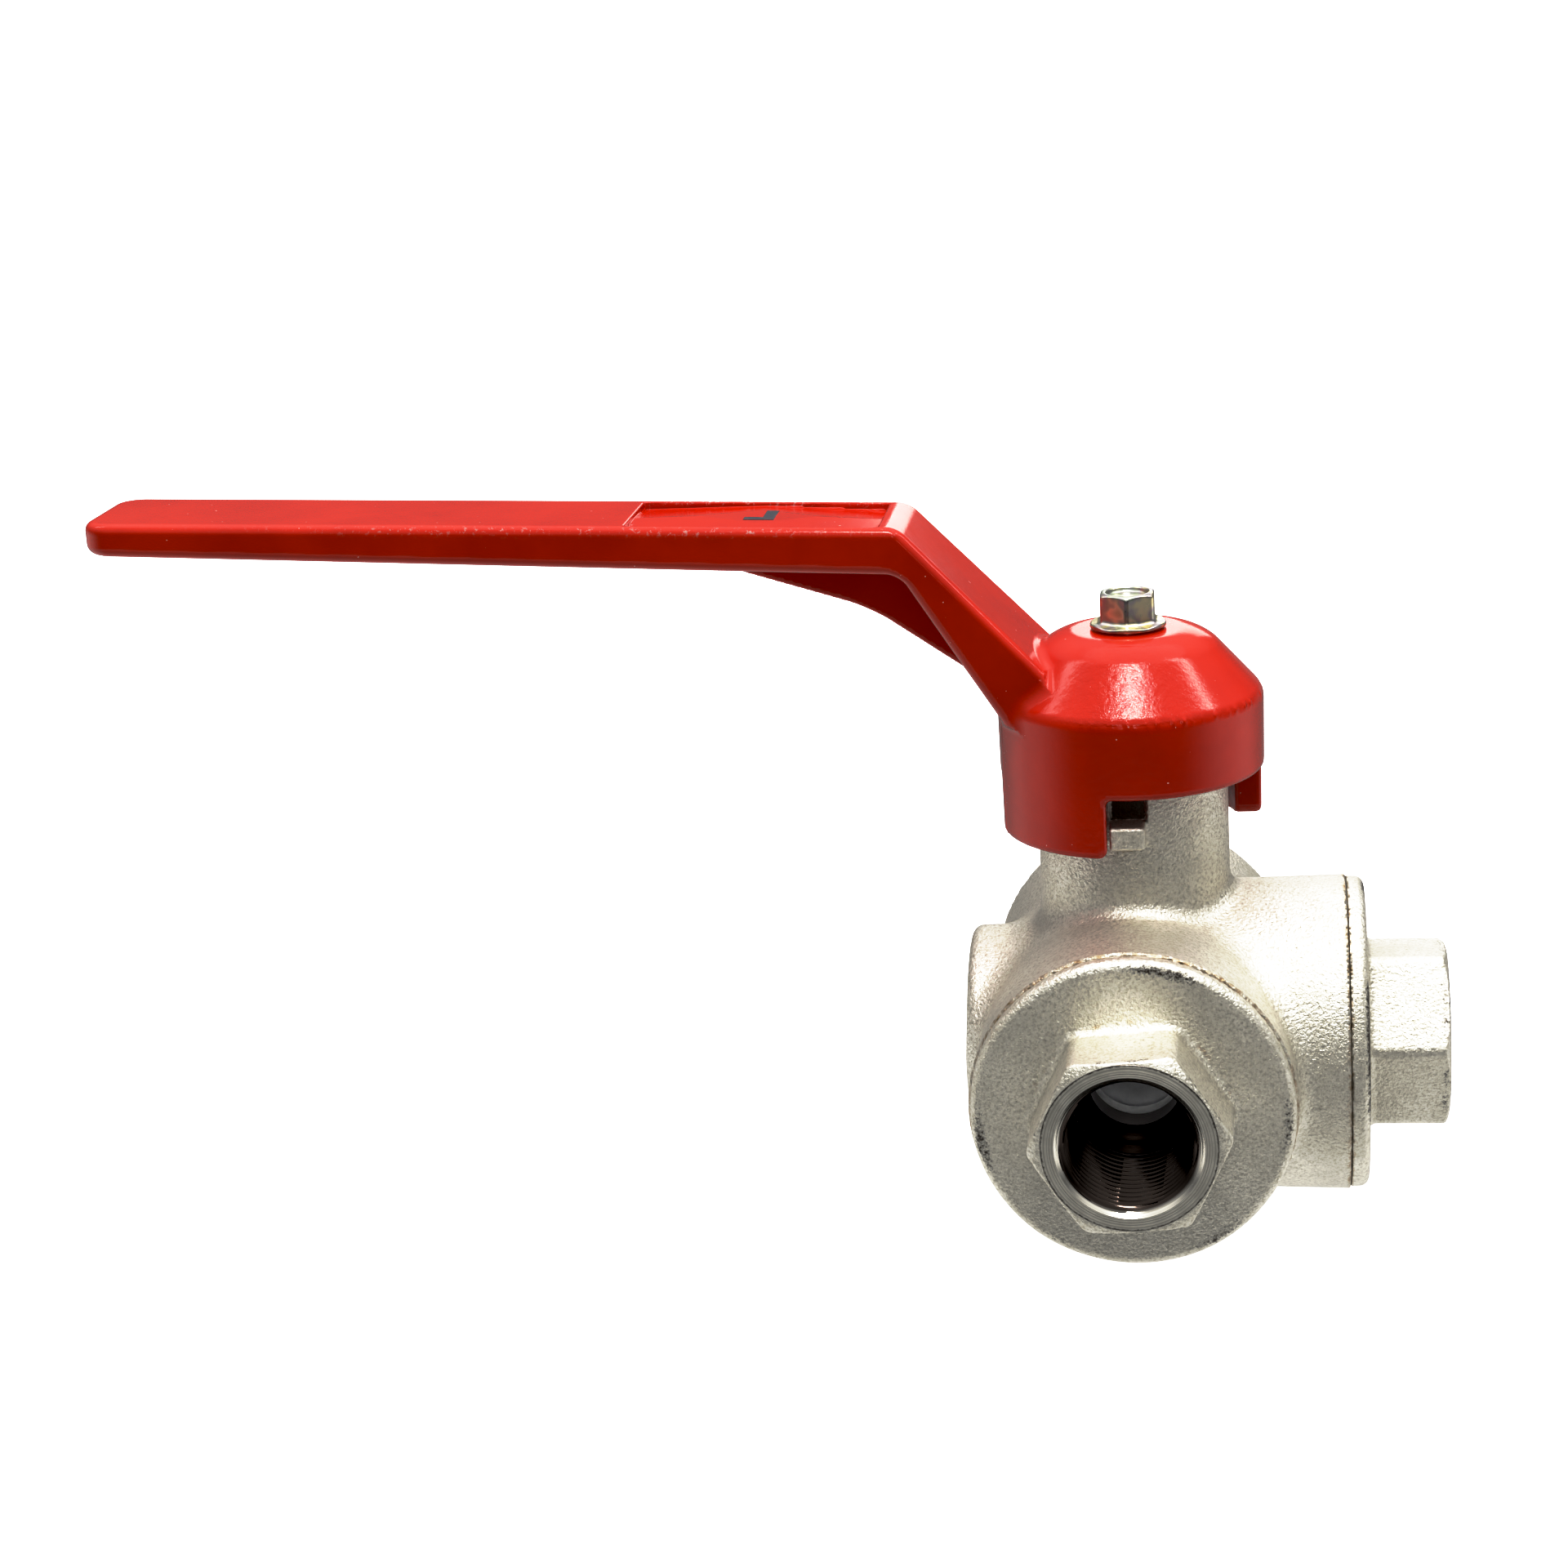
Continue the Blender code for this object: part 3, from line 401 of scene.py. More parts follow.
def surface_nets(low, high, step, distance):
    """Vertices in the grid cells that the surface passes through, and the quads that join them."""
    axes = [np.arange(a - 2 * step, b + 3 * step, step) for a, b in zip(low, high)]
    field = distance(*np.meshgrid(*axes, indexing="ij", sparse=True)).astype(np.float32)
    inside = field < 0
    size = np.array(field.shape) - 1
    corners = list(product((0, 1), repeat=3))
    filled = np.zeros(size, np.uint8)
    for i, j, k in corners:
        filled += inside[i:size[0] + i, j:size[1] + j, k:size[2] + k]
    mixed = (filled > 0) & (filled < 8)
    cells = np.argwhere(mixed)
    number = np.full(size, -1)
    number[mixed] = np.arange(len(cells))
    total = np.zeros((len(cells), 3))
    hits = np.zeros(len(cells))
    for start in corners:
        for axis in range(3):
            if start[axis]:
                continue
            unit = np.eye(3, dtype=int)[axis]
            a = field[tuple((cells + start).T)]
            b = field[tuple((cells + start + unit).T)]
            crosses = (a < 0) != (b < 0)
            share = np.where(crosses, a / np.where(crosses, a - b, 1), 0)
            total += (np.array(start) + share[:, None] * unit) * crosses[:, None]
            hits += crosses
    points = np.array([axis[0] for axis in axes]) + step * (cells + total / hits[:, None])
    quads = []
    for axis in range(3):
        ends = np.moveaxis(inside, axis, 0)
        differs = np.moveaxis(ends[:-1] != ends[1:], 0, axis)
        edges = np.argwhere(differs)
        rises = inside[tuple(edges.T)]
        u = np.eye(3, dtype=int)[(axis + 1) % 3]
        v = np.eye(3, dtype=int)[(axis + 2) % 3]
        around = [number[tuple((edges - offset).T)] for offset in (0 * u, u, u + v, v)]
        quad = np.stack(around, axis=1)
        quad[~rises] = quad[~rises, ::-1]
        quads.append(quad)
    return points, np.concatenate(quads)


def new_object(name, mesh):
    piece = bpy.data.objects.new(name, mesh)
    bpy.context.scene.collection.objects.link(piece)
    return piece


def solid(name, low, high, step, distance):
    """A smooth closed mesh of the solid where the distance is negative."""
    points, quads = surface_nets(low, high, step, distance)
    for _ in range(NEWTON_STEPS):
        value, gradient = slope_at(distance, points)
        steepness = np.maximum((gradient**2).sum(axis=1), 0.2)
        points -= (np.clip(value, -step / 2, step / 2) / steepness)[:, None] * gradient
    gradient = slope_at(distance, points)[1]
    mesh = bpy.data.meshes.new(name)
    mesh.from_pydata((points * MM).tolist(), [], quads.tolist())
    mesh.shade_smooth()
    normals = gradient / np.maximum(np.linalg.norm(gradient, axis=1), 1e-6)[:, None]
    mesh.normals_split_custom_set_from_vertices(normals.tolist())
    return mesh, points


def tint(mesh, name, values):
    """Stores one number per vertex for a material to read."""
    layer = mesh.attributes.new(name, "FLOAT", "POINT")
    layer.data.foreach_set("value", np.clip(values, 0, 1).astype(np.float32))


def thread_radius(along, angle):
    """Radius of the threaded wall: a V thread with flat crests and roots that fades at both ends."""
    phase = (along / THREAD_PITCH - angle / (2 * math.pi)) % 1.0
    wave = np.clip(1.4 * (1 - np.abs(2 * phase - 1)) - 0.2, 0, 1)
    fade = np.clip((along - THREAD_FOOT) / THREAD_PITCH, 0, 1)
    return THREAD_RADIUS + THREAD_DEPTH * wave * fade


def liner_mesh():
    """The machined inside of a port about +Z: seat pocket, flow bore, relief, thread, mouth and end face."""
    columns = PORT_COLUMNS
    angle = np.linspace(0, 2 * math.pi, columns, endpoint=False)
    rows = [
        (LINER_RADIUS, PORT_REACH - 0.7),
        (LINER_RADIUS, NOSE_TIP + 0.2),
        (SEAT_POCKET[0], NOSE_TIP),
        (SEAT_POCKET[0], SEAT_POCKET[1]),
        (FLOW_RADIUS, SEAT_POCKET[1]),
        (FLOW_RADIUS, RELIEF_FOOT - 0.3),
        (FLOW_RADIUS + 0.3, RELIEF_FOOT),
        (RELIEF_RADIUS - 0.4, RELIEF_FOOT),
        (RELIEF_RADIUS, RELIEF_FOOT + 0.4),
        (RELIEF_RADIUS, THREAD_FOOT - 0.5),
    ]
    rings = [np.stack([np.full(columns, r), np.full(columns, z)], axis=1) for r, z in rows]
    for along in np.arange(THREAD_FOOT, PORT_REACH - 0.1, THREAD_PITCH / THREAD_ROWS):
        radius = thread_radius(along, angle)
        radius = np.maximum(radius, MOUTH_RADIUS - (PORT_REACH - along) / MOUTH_SLOPE)
        rings.append(np.stack([radius, np.full(columns, along)], axis=1))
    end = [
        (MOUTH_RADIUS, PORT_REACH),
        (MOUTH_RADIUS + 0.12, PORT_REACH),
        (LIP_RADIUS - 0.1, PORT_REACH),
        (LIP_RADIUS, PORT_REACH - 0.1),
        (LIP_RADIUS, PORT_REACH - 0.45),
    ]
    rings += [np.stack([np.full(columns, r), np.full(columns, z)], axis=1) for r, z in end]
    grid = np.array(rings)
    points = np.stack(
        [grid[:, :, 0] * np.cos(angle), grid[:, :, 0] * np.sin(angle), grid[:, :, 1]], axis=2
    )
    count = len(rings)
    faces = []
    for row in range(count):
        here = row * columns
        below = (row + 1) % count * columns
        for column in range(columns):
            after = (column + 1) % columns
            faces.append((here + column, here + after, below + after, below + column))
    mesh = bpy.data.meshes.new("port_liner")
    mesh.from_pydata((points.reshape(-1, 3) * MM).tolist(), [], faces)
    mesh.shade_smooth()
    mesh.set_sharp_from_angle(angle=math.radians(38))
    return mesh


# ---------------------------------------------------------------- materials


NOISE_SHIFT = (0.31, 0.17, 0.43)    # metres


class Finish:
    """A Principled material that is built up from procedural nodes."""

    def __init__(self, name, roughness, metallic=0.0, **sockets):
        self.material = bpy.data.materials.new(name)
        self.material.use_nodes = True
        self.nodes = self.material.node_tree.nodes
        self.links = self.material.node_tree.links
        self.shader = self.nodes["Principled BSDF"]
        self.shader.inputs["Roughness"].default_value = roughness
        self.shader.inputs["Metallic"].default_value = metallic
        for socket, value in sockets.items():
            self.shader.inputs[socket.replace("_", " ")].default_value = value
        self.place = self.nodes.new("ShaderNodeTexCoord").outputs["Object"]

    def shifted(self):
        """Coordinates a little way off, for noise that is unlike the noise at the place itself."""
        mapping = self.nodes.new("ShaderNodeMapping")
        mapping.inputs["Location"].default_value = NOISE_SHIFT
        self.links.new(self.place, mapping.inputs["Vector"])
        return mapping.outputs["Vector"]

    def noise(self, size_mm, detail=3.0, rough=0.55, place=None):
        """Noise whose features are about size_mm across."""
        noise = self.nodes.new("ShaderNodeTexNoise")
        noise.inputs["Scale"].default_value = 1 / (size_mm * MM)
        noise.inputs["Detail"].default_value = detail
        noise.inputs["Roughness"].default_value = rough
        self.links.new(place or self.place, noise.inputs["Vector"])
        return noise.outputs["Fac"]

    def level(self, value, low, high, out_low=0.0, out_high=1.0):
        """The value, with the range from low to high stretched to a new range and held at its ends."""
        remap = self.nodes.new("ShaderNodeMapRange")
        ends = (("From Min", low), ("From Max", high), ("To Min", out_low), ("To Max", out_high))
        for socket, number in ends:
            remap.inputs[socket].default_value = number
        self.links.new(value, remap.inputs["Value"])
        return remap.outputs["Result"]

    def maths(self, operation, a, b):
        """A sum or other operation on two values; a float is set on its socket, anything else is linked."""
        node = self.nodes.new("ShaderNodeMath")
        node.operation = operation
        for value, socket in ((a, node.inputs[0]), (b, node.inputs[1])):
            if isinstance(value, float):
                socket.default_value = value
            else:
                self.links.new(value, socket)
        return node.outputs["Value"]

    def mix(self, factor, a, b):
        """Two colours mixed; each may be a triple or the output of an earlier mix."""
        node = self.nodes.new("ShaderNodeMix")
        node.data_type = "RGBA"
        self.links.new(factor, node.inputs["Factor"])
        for colour, socket in ((a, node.inputs[6]), (b, node.inputs[7])):
            if isinstance(colour, tuple):
                socket.default_value = (*colour, 1.0)
            else:
                self.links.new(colour, socket)
        return node.outputs[2]

    def stored(self, name):
        """The number that the mesh stores under that name."""
        node = self.nodes.new("ShaderNodeAttribute")
        node.attribute_name = name
        return node.outputs["Fac"]

    def bump(self, height, depth_mm, strength=1.0, under=None):
        """A normal that follows a height, on top of an earlier bump if one is given."""
        node = self.nodes.new("ShaderNodeBump")
        node.inputs["Strength"].default_value = strength
        node.inputs["Distance"].default_value = depth_mm * MM
        self.links.new(height, node.inputs["Height"])
        if under is not None:
            self.links.new(under, node.inputs["Normal"])
        return node.outputs["Normal"]

    def finish(self, colour=None, roughness=None, normal=None):
        """The material, with what it was given linked to its shader."""
        pairs = (("Base Color", colour), ("Roughness", roughness), ("Normal", normal))
        for socket, value in pairs:
            if value is not None:
                self.links.new(value, self.shader.inputs[socket])
        return self.material


def forged_nickel():
    """Satin nickel plating over a sand-like forged skin, with brown stains, dark smudges, painted shade on
    the milled patches under the lever's skirt and a dull haze.
    """
    f = Finish("forged_nickel", 0.4, 0.82)
    grain = f.noise(0.5, 3.0, 0.6)
    dents = f.noise(2.4, 2.0, 0.5)
    cloud = f.noise(9.0, 3.0, 0.6)
    colour = f.mix(f.level(cloud, 0.35, 0.7), (0.81, 0.79, 0.725), (0.69, 0.67, 0.605))
    speckle = f.noise(0.5, 3.0, 0.7, f.shifted())
    colour = f.mix(f.level(speckle, 0.54, 0.34), colour, (0.57, 0.545, 0.475))
    colour = f.mix(f.level(speckle, 0.31, 0.24), colour, (0.24, 0.22, 0.18))
    spread = f.maths("ADD", f.stored("stain"), f.maths("MULTIPLY", f.noise(1.4, 4.0, 0.7), 1.4))
    colour = f.mix(f.level(spread, 1.05, 1.5), colour, (0.36, 0.25, 0.12))
    # Near black where the mesh asks for it: dark smudges on the caps' rims, and painted shade on the body's
    # milled patches under the skirt.
    spread = f.maths("ADD", f.stored("smudge_and_shade"), f.maths("MULTIPLY", f.noise(0.55, 5.0, 0.75), 1.6))
    colour = f.mix(f.level(spread, 1.22, 1.50), colour, (0.075, 0.062, 0.05))
    roughness = f.level(cloud, 0.3, 0.7, 0.40, 0.48)
    normal = f.bump(dents, 0.06, 0.7)
    normal = f.bump(grain, 0.27, 1.0, normal)
    return f.finish(colour, roughness, normal)


def machined_nickel():
    """Turned and plated metal: fine rings round the port's axis, and painted shade that makes the port near
    black inside, past its mouth.
    """
    f = Finish("machined_nickel", 0.22, 1.0)
    x, y, z = separate(f)
    across = f.maths("SQRT", f.maths("ADD", f.maths("MULTIPLY", x, x), f.maths("MULTIPLY", y, y)), 0.0)
    rings = radial_noise(f, across, 0.28)
    runs = radial_noise(f, z, 0.35)
    colour = f.mix(f.level(f.noise(2.5, 3.0, 0.6), 0.35, 0.65), (0.78, 0.76, 0.69), (0.62, 0.60, 0.53))
    colour = f.mix(f.level(rings, 0.48, 0.34), colour, (0.42, 0.40, 0.35))
    edge = f.maths("ADD", f.level(across, (LIP_RADIUS - 0.8) * MM, LIP_RADIUS * MM), f.noise(0.5, 4.0, 0.7))
    colour = f.mix(f.level(edge, 1.05, 1.35), colour, (0.10, 0.09, 0.08))
    chamfer = f.level(across, (MOUTH_RADIUS + 0.15) * MM, (MOUTH_RADIUS - 0.1) * MM)
    colour = f.mix(chamfer, colour, (0.70, 0.68, 0.62))
    # Painted shade: past the mouth the port's wall is coloured near black, standing for the shade deep
    # inside the port.
    inside = f.level(z, (PORT_REACH - 0.4) * MM, (PORT_REACH - 0.9) * MM)
    colour = f.mix(inside, colour, (0.075, 0.06, 0.052))
    roughness = f.maths("SUBTRACT", f.level(rings, 0.3, 0.7, 0.26, 0.40), f.maths("MULTIPLY", chamfer, 0.13))
    normal = f.bump(f.maths("ADD", rings, runs), 0.02, 0.8)
    return f.finish(colour, roughness, normal)


def separate(f):
    """The X, Y and Z of the place."""
    node = f.nodes.new("ShaderNodeSeparateXYZ")
    f.links.new(f.place, node.inputs["Vector"])
    return node.outputs


def radial_noise(f, value, size_mm):
    """Noise that only changes with the given value, such as the distance from an axis."""
    node = f.nodes.new("ShaderNodeTexNoise")
    node.noise_dimensions = "1D"
    node.inputs["Scale"].default_value = 1 / (size_mm * MM)
    node.inputs["Detail"].default_value = 2.0
    f.links.new(value, node.inputs["W"])
    return node.outputs["Fac"]


def polished_metal(name, colour, roughness):
    """A turned or polished metal with a faint haze."""
    f = Finish(name, roughness, 1.0)
    haze = f.noise(3.0, 4.0, 0.6)
    shade = tuple(0.82 * part for part in colour)
    tone = f.mix(f.level(haze, 0.35, 0.7), colour, shade)
    gloss = f.level(haze, 0.3, 0.7, roughness, roughness + 0.08)
    return f.finish(tone, gloss, f.bump(f.noise(0.4, 3.0), 0.01, 0.4))


def red_enamel():
    """Gloss red enamel on a die casting: orange peel, rough patches, pale specks and chipped edges."""
    f = Finish("red_enamel", 0.15, 0.0, IOR=1.5)
    peel = f.noise(1.3, 2.0, 0.5)
    fine = f.noise(0.35, 3.0, 0.6)
    cloud = f.noise(14.0, 3.0, 0.6)
    colour = f.mix(f.level(cloud, 0.35, 0.7), (0.55, 0.028, 0.003), (0.48, 0.020, 0.002))
    chips = f.maths("MULTIPLY", f.stored("wear"), f.level(f.noise(0.8, 5.0, 0.75), 0.57, 0.61))
    colour = f.mix(chips, colour, (0.50, 0.40, 0.37))
    specks = f.level(f.noise(0.7, 1.0, 0.4), 0.80, 0.82)
    colour = f.mix(specks, colour, (0.75, 0.45, 0.40))
    roughness = f.maths("ADD", f.level(cloud, 0.3, 0.7, 0.10, 0.17), f.maths("MULTIPLY", chips, 0.3))
    rough_patch = f.maths("MULTIPLY", f.stored("coarse"), f.noise(1.0, 4.0, 0.65))
    normal = f.bump(peel, 0.03, 0.4)
    normal = f.bump(fine, 0.012, 0.5, normal)
    normal = f.bump(rough_patch, 0.11, 0.8, normal)
    return f.finish(colour, roughness, normal)


def yellow_zinc():
    """Yellow passivated zinc: gold with grey-green and purple-grey tints that drift over the surface."""
    f = Finish("yellow_zinc", 0.25, 1.0)
    drift = f.noise(4.0, 2.0, 0.5)
    ramp = f.nodes.new("ShaderNodeValToRGB")
    tints = (
        (0.30, (0.62, 0.57, 0.40)),
        (0.42, (0.76, 0.72, 0.54)),
        (0.50, (0.46, 0.49, 0.42)),
        (0.57, (0.48, 0.44, 0.46)),
        (0.66, (0.70, 0.65, 0.46)),
    )
    while len(ramp.color_ramp.elements) < len(tints):
        ramp.color_ramp.elements.new(0.5)
    for element, (position, tone) in zip(ramp.color_ramp.elements, tints):
        element.position = position
        element.color = (*tone, 1.0)
    f.links.new(drift, ramp.inputs["Fac"])
    roughness = f.level(f.noise(0.8, 3.0), 0.3, 0.7, 0.27, 0.38)
    return f.finish(ramp.outputs["Color"], roughness, f.bump(f.noise(0.6, 2.0, 0.5), 0.01, 0.6))


def plain_plastic(name, colour, roughness):
    """A plastic or rubber with a fine mottled grain."""
    f = Finish(name, roughness)
    mottle = f.noise(1.2, 4.0, 0.6)
    shade = tuple(0.8 * part for part in colour)
    tone = f.mix(f.level(mottle, 0.3, 0.7), colour, shade)
    gloss = f.level(mottle, 0.3, 0.7, roughness - 0.06, roughness + 0.06)
    return f.finish(tone, gloss, f.bump(mottle, 0.03, 0.5))


def worn_print():
    """Blue-black printing ink, thin in places so that the red shows through."""
    f = Finish("worn_print", 0.35)
    thin = f.level(f.noise(0.5, 5.0, 0.75), 0.56, 0.64)
    colour = f.mix(thin, (0.055, 0.075, 0.10), (0.45, 0.16, 0.14))
    return f.finish(colour, f.level(thin, 0.0, 1.0, 0.3, 0.45), f.bump(f.noise(0.4, 3.0), 0.02, 0.5))


def pale_floor_material():
    """A matt, pale floor with a glow of its own, which keeps it near white."""
    f = Finish("pale_floor", 0.9, 0.0, Specular_IOR_Level=0.1, Emission_Strength=0.85)
    f.shader.inputs["Emission Color"].default_value = (1.0, 1.0, 1.0, 1.0)
    tone = f.mix(f.noise(60.0, 2.0, 0.5), (0.55, 0.55, 0.55), (0.53, 0.53, 0.53))
    return f.finish(tone)


# ---------------------------------------------------------------- pieces

PORTS = {
    "front": Matrix.Rotation(math.radians(90), 4, "X"),
    "right": Matrix.Rotation(math.radians(90), 4, "Y"),
    "rear": Matrix.Rotation(math.radians(-90), 4, "X"),
}


def put(name, mesh, material, body, node=None, place=None):
    """A finished piece: on its body, standing for its CAD node."""
    if not mesh.materials:
        mesh.materials.append(material)
    piece = new_object(name, mesh)
    if place is not None:
        piece.matrix_world = place
    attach(piece, body)
    if node is not None:
        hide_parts(node)


def build_body(nickel):
    mesh, points = solid("forged_body", body_low, body_high, BODY_STEP, body_distance)
    x, y, z = points.T
    seam = bump_curve(SEAM - np.abs(y), 0.8) + bump_curve(SEAM - x, 0.8)
    under_stop = bump_curve(x + STOP_SHIFT, STOP_HALF_WIDTH) * bump_curve(z - STOP_LOW + 0.6, 0.9)
    under_stop = under_stop * (np.abs(y) > 12)
    boss_root = bump_curve(x + 23.5, 2.0) * bump_curve(z + 13.0, 4.0)
    tint(mesh, "stain", 0.55 * seam + 0.9 * under_stop + 0.8 * boss_root)
    # Painted shade: the milled patch above each stop lies in the shade of the lever's skirt, so it gets the
    # darkest smudge colour in full.
    milled = (np.abs(x + STOP_SHIFT) < STOP_HALF_WIDTH) & (z > STOP_HIGH + 0.2) & (z < MILLED_TOP)
    tint(mesh, "smudge_and_shade", 1.0 * milled)
    put("forged_body", mesh, nickel, "body", "valve_body")


def build_caps(nickel, machined):
    low, high = (-FLANGE_RADIUS, -FLANGE_RADIUS, NOSE_TIP), (FLANGE_RADIUS, FLANGE_RADIUS, PORT_REACH)
    liner = liner_mesh()
    for side, place in PORTS.items():
        mesh, points = solid(f"cap_{side}", low, high, CASTING_STEP, partial(cap_distance, HEX_TURN[side]))
        x, y, z = points.T
        across, angle = length(x, y), np.arctan2(y, x)
        rim = bump_curve(across - FLANGE_RADIUS + 1.2, 1.4) * bump_curve(z - FLANGE_FACE, 1.1)
        darkness, seed = RIM_WEAR[side]
        patches = np.clip(turned_noise(angle, seed, 6) * 0.9 + 0.35, 0, 1)
        hex_corner = bump_curve(across - CHAMFER_RADIUS - 0.2, 0.7) * bump_curve(z - PORT_REACH + 0.8, 0.9)
        tint(mesh, "smudge_and_shade", darkness * rim * patches + 0.5 * hex_corner)
        back = bump_curve(z - FLANGE_BACK, 0.6)
        root = bump_curve(across - HEX_HALF - 1.5, 1.2) * bump_curve(z - FLANGE_FACE, 0.5)
        tint(mesh, "stain", 0.5 * back + 0.3 * root)
        put(f"cap_{side}", mesh, nickel, "body", f"end_cap_{side}", place)
        put(f"port_thread_{side}", liner, machined, "body", None, place)


WORN_STRETCHES = ((96, 26), (58, 14), (30, 6))     # of the grip's edge: middle and half length, in reach


def build_lever(enamel):
    mesh, points = solid("lever_casting", lever_low, lever_high, CASTING_STEP, lever_distance)
    x, y, z = points.T
    reach = -x
    near_edge = bump_curve(y + lever_width(reach) / 2 - 0.2, 0.6) * bump_curve(grip_top(reach, z) + 0.3, 0.7)
    stretch = sum(bump_curve(reach - middle, half) for middle, half in WORN_STRETCHES)
    rim = bump_curve(y - RECESS_HALF_WIDTH - 0.6, 0.8) * (grip_top(reach, z) > -0.6)
    rim = rim * (np.abs(reach - RECESS_REACH) < RECESS_HALF_LENGTH)
    tint(mesh, "wear", near_edge * stretch + rim)
    cone = (z > RIM_HEIGHT) & (z < HUB_TOP - 0.5) & (length(x, y) < RIM_RADIUS)
    tint(mesh, "coarse", cone * bump_curve(np.arctan2(x, -y), 0.5) + 0.15)
    put("lever_casting", mesh, enamel, "lever", "lever")


def build_bolt(zinc):
    mesh, _ = solid("flange_bolt", bolt_low, bolt_high, BOLT_STEP, bolt_distance)
    put("flange_bolt", mesh, zinc, "lever", "lever_bolt")


def build_ball(chrome):
    half = BALL_RADIUS
    mesh, _ = solid("bored_ball", (-half,) * 3, (half,) * 3, CASTING_STEP, ball_distance)
    put("bored_ball", mesh, chrome, "lever", "ball")


def dress_cad_nodes():
    """Materials for the inner pieces, which keep their CAD shape."""
    brass = polished_metal("turned_brass", (0.72, 0.56, 0.30), 0.25)
    ptfe = plain_plastic("ptfe", (0.86, 0.86, 0.83), 0.5)
    rubber = plain_plastic("nitrile_rubber", (0.02, 0.02, 0.02), 0.6)
    ink = worn_print()
    finishes = {"brass": brass, "ptfe": ptfe, "nitrile_rubber": rubber, "dark_print": ink}
    for part in frame["record"]["subparts"]:
        if part["material_slot"] in finishes:
            mesh = frame["nodes"][part["node"]].data
            mesh.materials.clear()
            mesh.materials.append(finishes[part["material_slot"]])


# ---------------------------------------------------------------- studio

CAMERA_FROM = (20.1, -477.3, 180.7)
CAMERA_AIM = (-53.5, 0.0, 41.05)
CAMERA_ROLL = -3.43
CAMERA_LENS = 74.8
STRAY_LIGHT = 0.008
CONTRAST = ((0.15, 0.08), (0.33, 0.21), (0.5, 0.48), (0.75, 0.90))
FLOOR_SIZE = 14.0
FLOOR_DROP = 0.2            # how far below the body the floor lies


def build_floor():
    mesh = bpy.data.meshes.new("floor")
    half = FLOOR_SIZE / 2
    height = (-BARREL_RADIUS - FLOOR_DROP) * MM
    corners = [(-half, -half, height), (half, -half, height), (half, half, height), (-half, half, height)]
    mesh.from_pydata(corners, [], [(0, 1, 2, 3)])
    mesh.materials.append(pale_floor_material())
    floor = new_object("floor", mesh)
    floor.visible_glossy = False
    floor.visible_diffuse = False


def area_light(name, position, aim, size, power):
    """A white rectangular lamp; places and sizes are in metres."""
    data = bpy.data.lights.new(name, "AREA")
    data.shape = "RECTANGLE"
    data.size, data.size_y = size
    data.energy = power
    aim_lamp(new_object(name, data), position, aim)


def aim_lamp(lamp, position, aim):
    """Puts a lamp at a place and points it at another."""
    lamp.location = position
    lamp.rotation_euler = (Vector(aim) - Vector(position)).to_track_quat("-Z", "Y").to_euler()


def build_lights():
    """A soft overhead light, three lamps above, one behind, one in front and a narrow beam into the port."""
    sun = bpy.data.lights.new("overhead", "SUN")
    sun.energy = 0.6
    sun.angle = math.radians(60)
    lamp = new_object("overhead", sun)
    lamp.rotation_euler = (math.radians(-12), math.radians(4), 0)
    area_light("top_softbox", (0.03, -0.30, 0.75), (0.0, 0.0, 0.05), (0.27, 0.10), 2.5)
    area_light("right_strip", (0.50, 0.07, 0.68), (0.0, 0.0, 0.05), (0.08, 0.30), 0.8)
    area_light("left_strip", (-0.53, 0.06, 0.66), (0.0, 0.0, 0.05), (0.08, 0.30), 0.4)
    area_light("back_softbox", (0.05, 0.62, 0.25), (0.0, 0.0, 0.06), (0.28, 0.17), 0.30)
    area_light("front_lamp", (0.0, -0.85, 0.28), (0.0, 0.0, 0.0), (0.12, 0.12), 0.3)
    beam = bpy.data.lights.new("port_beam", "SPOT")
    beam.energy = 6.0
    beam.spot_size = math.radians(1.7)
    beam.spot_blend = 0.5
    beam.shadow_soft_size = 0.004
    aim_lamp(new_object("port_beam", beam), (0.02, -0.62, 0.22), (0.0, -0.015, 0.003))


# Brightness of the room at some heights of the view, from straight down (-1) to straight up (1).
ROOM_IN_FRONT = (
    (-1.0, 0.45), (-0.5, 0.65), (-0.42, 1.00), (-0.36, 0.45), (-0.31, 0.05),
    (-0.1, 0.02), (0.15, 0.03), (0.38, 0.40), (0.6, 0.80)
)
ROOM_BESIDE = ((-1.0, 1.0), (-0.5, 1.25), (-0.2, 1.3), (0.0, 0.5), (0.15, 0.25), (0.4, 0.5), (0.7, 1.15))
ROOM_BEHIND = ((-1.0, 1.0), (-0.5, 0.5), (-0.25, 0.34), (0.0, 0.32), (0.1, 0.22), (0.35, 0.35), (0.7, 1.15))


def room_ramp(nodes, links, height, steps):
    """Grey that depends on a height between 0 and 1."""
    ramp = nodes.new("ShaderNodeValToRGB")
    while len(ramp.color_ramp.elements) < len(steps):
        ramp.color_ramp.elements.new(0.5)
    for element, (position, grey) in zip(ramp.color_ramp.elements, steps):
        element.position = (position + 1) / 2
        element.color = (grey, grey, grey, 1.0)
    links.new(height, ramp.inputs["Fac"])
    return ramp.outputs["Color"]


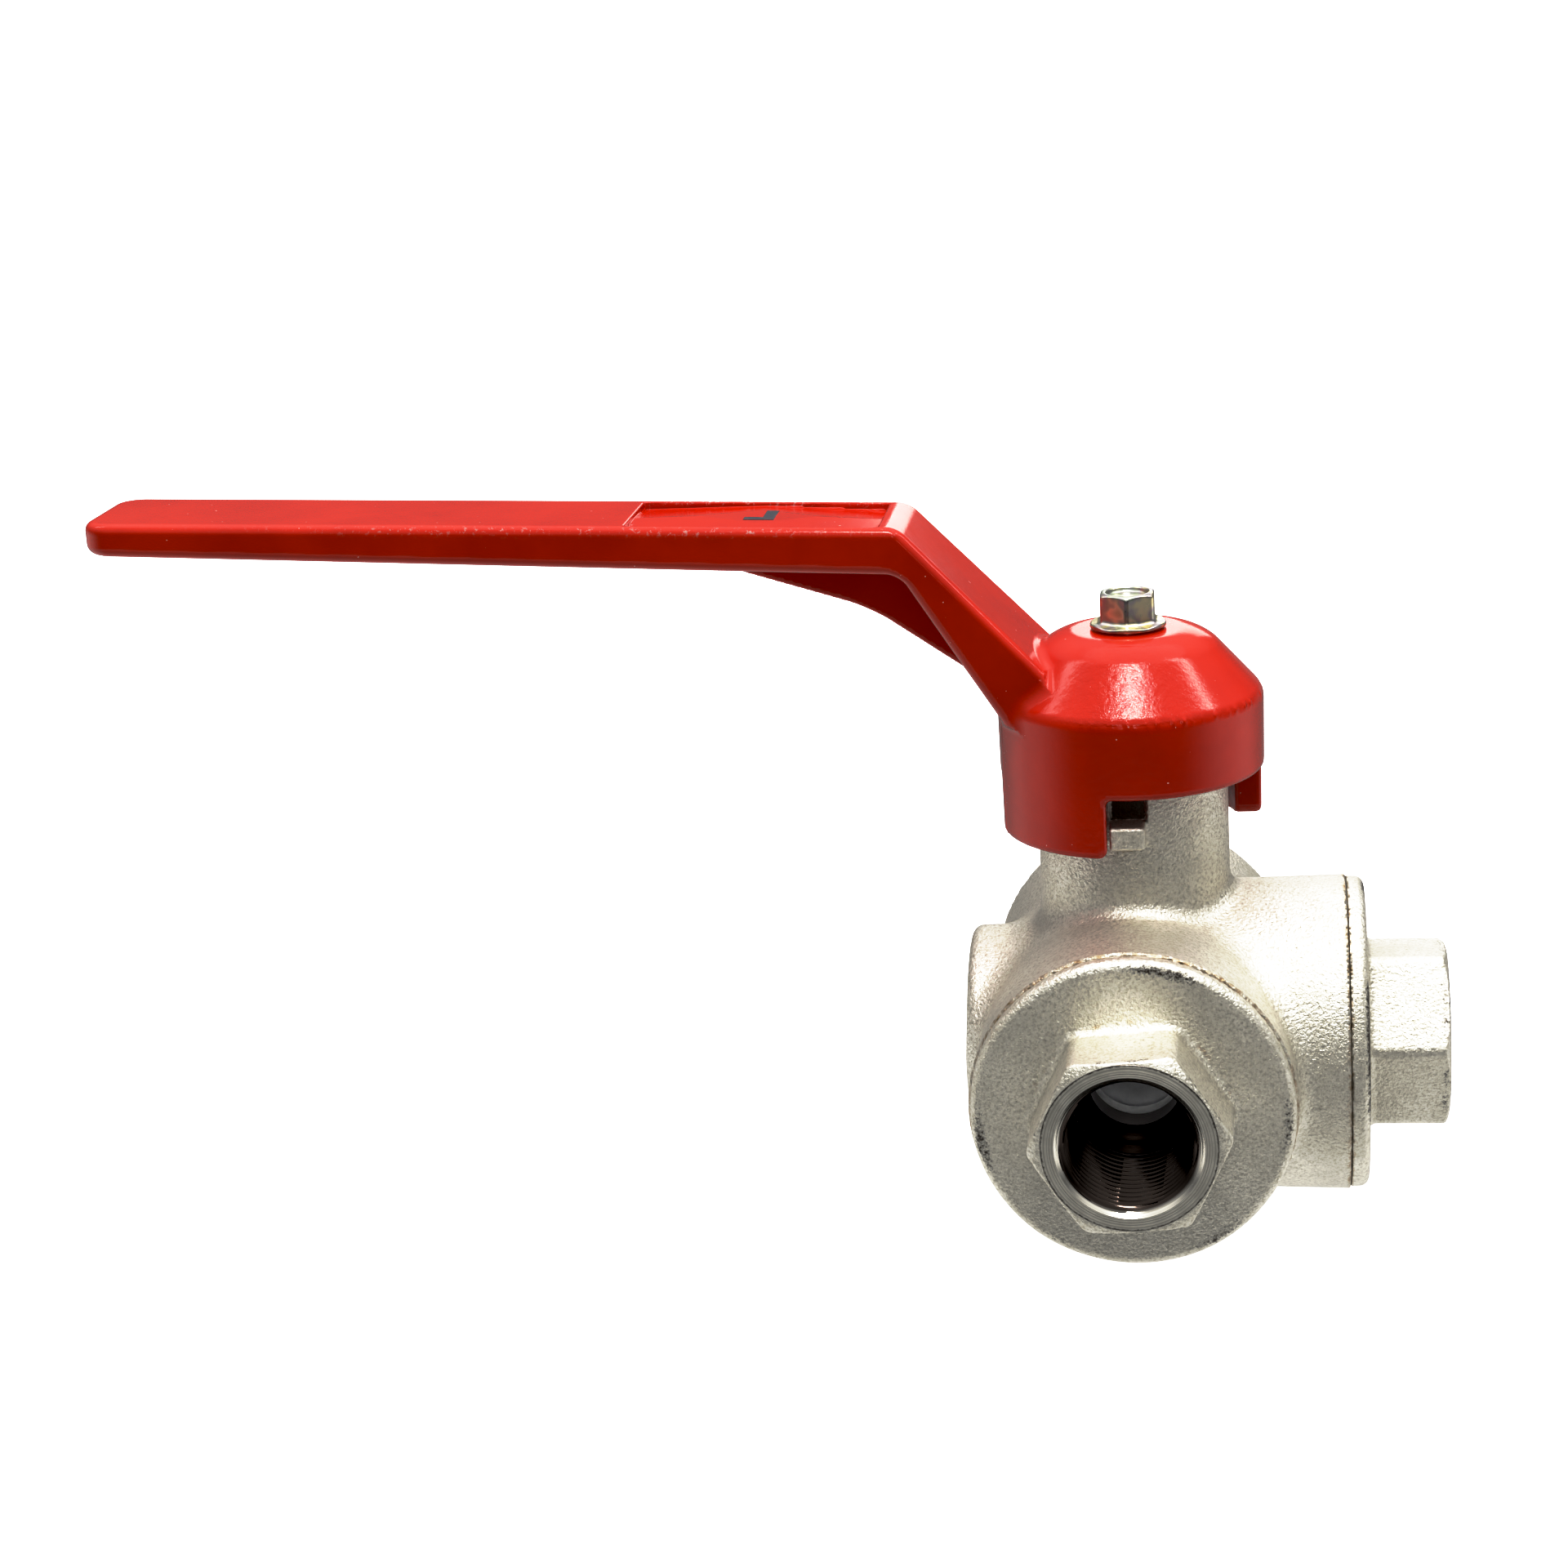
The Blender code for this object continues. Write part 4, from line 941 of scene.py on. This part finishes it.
def build_world():
    """A pale room that is bright above and below, and dim in front at the height of the lens."""
    world = bpy.data.worlds.new("studio")
    bpy.context.scene.world = world
    world.use_nodes = True
    nodes, links = world.node_tree.nodes, world.node_tree.links
    place = nodes.new("ShaderNodeTexCoord")
    parts = nodes.new("ShaderNodeSeparateXYZ")
    links.new(place.outputs["Generated"], parts.inputs["Vector"])
    spread = nodes.new("ShaderNodeMapRange")
    spread.inputs["From Min"].default_value = -1.0
    links.new(parts.outputs["Z"], spread.inputs["Value"])
    height = spread.outputs["Result"]
    room = room_ramp(nodes, links, height, ROOM_IN_FRONT)
    for steps, start, end in ((ROOM_BESIDE, -0.75, 0.0), (ROOM_BEHIND, 0.3, 0.9)):
        share = nodes.new("ShaderNodeMapRange")
        share.interpolation_type = "SMOOTHSTEP"
        share.inputs["From Min"].default_value = start
        share.inputs["From Max"].default_value = end
        links.new(parts.outputs["Y"], share.inputs["Value"])
        mix = nodes.new("ShaderNodeMix")
        mix.data_type = "RGBA"
        links.new(share.outputs["Result"], mix.inputs["Factor"])
        links.new(room, mix.inputs[6])
        links.new(room_ramp(nodes, links, height, steps), mix.inputs[7])
        room = mix.outputs[2]
    links.new(room, nodes["Background"].inputs["Color"])


def build_camera():
    data = bpy.data.cameras.new("camera")
    data.lens = CAMERA_LENS
    data.clip_end = 50.0
    camera = new_object("camera", data)
    position, aim = Vector(CAMERA_FROM) * MM, Vector(CAMERA_AIM) * MM
    level = (aim - position).to_track_quat("-Z", "Y").to_matrix().to_4x4()
    roll = Matrix.Rotation(math.radians(CAMERA_ROLL), 4, "Z")
    camera.matrix_world = Matrix.Translation(position) @ level @ roll
    bpy.context.scene.camera = camera


def set_tones():
    """Plain colours with a gentle contrast curve, and no veil of stray light in the darkest tones."""
    view = bpy.context.scene.view_settings
    view.view_transform = "Standard"
    view.use_curve_mapping = True
    for tone in CONTRAST:
        view.curve_mapping.curves[3].points.new(*tone)
    view.curve_mapping.black_level = (STRAY_LIGHT,) * 3
    view.curve_mapping.update()


build_camera()
build_world()
build_lights()
build_floor()
forged = forged_nickel()
build_body(forged)
build_caps(forged, machined_nickel())
build_lever(red_enamel())
build_bolt(yellow_zinc())
build_ball(polished_metal("polished_chrome", (0.84, 0.84, 0.86), 0.50))
dress_cad_nodes()
set_tones()
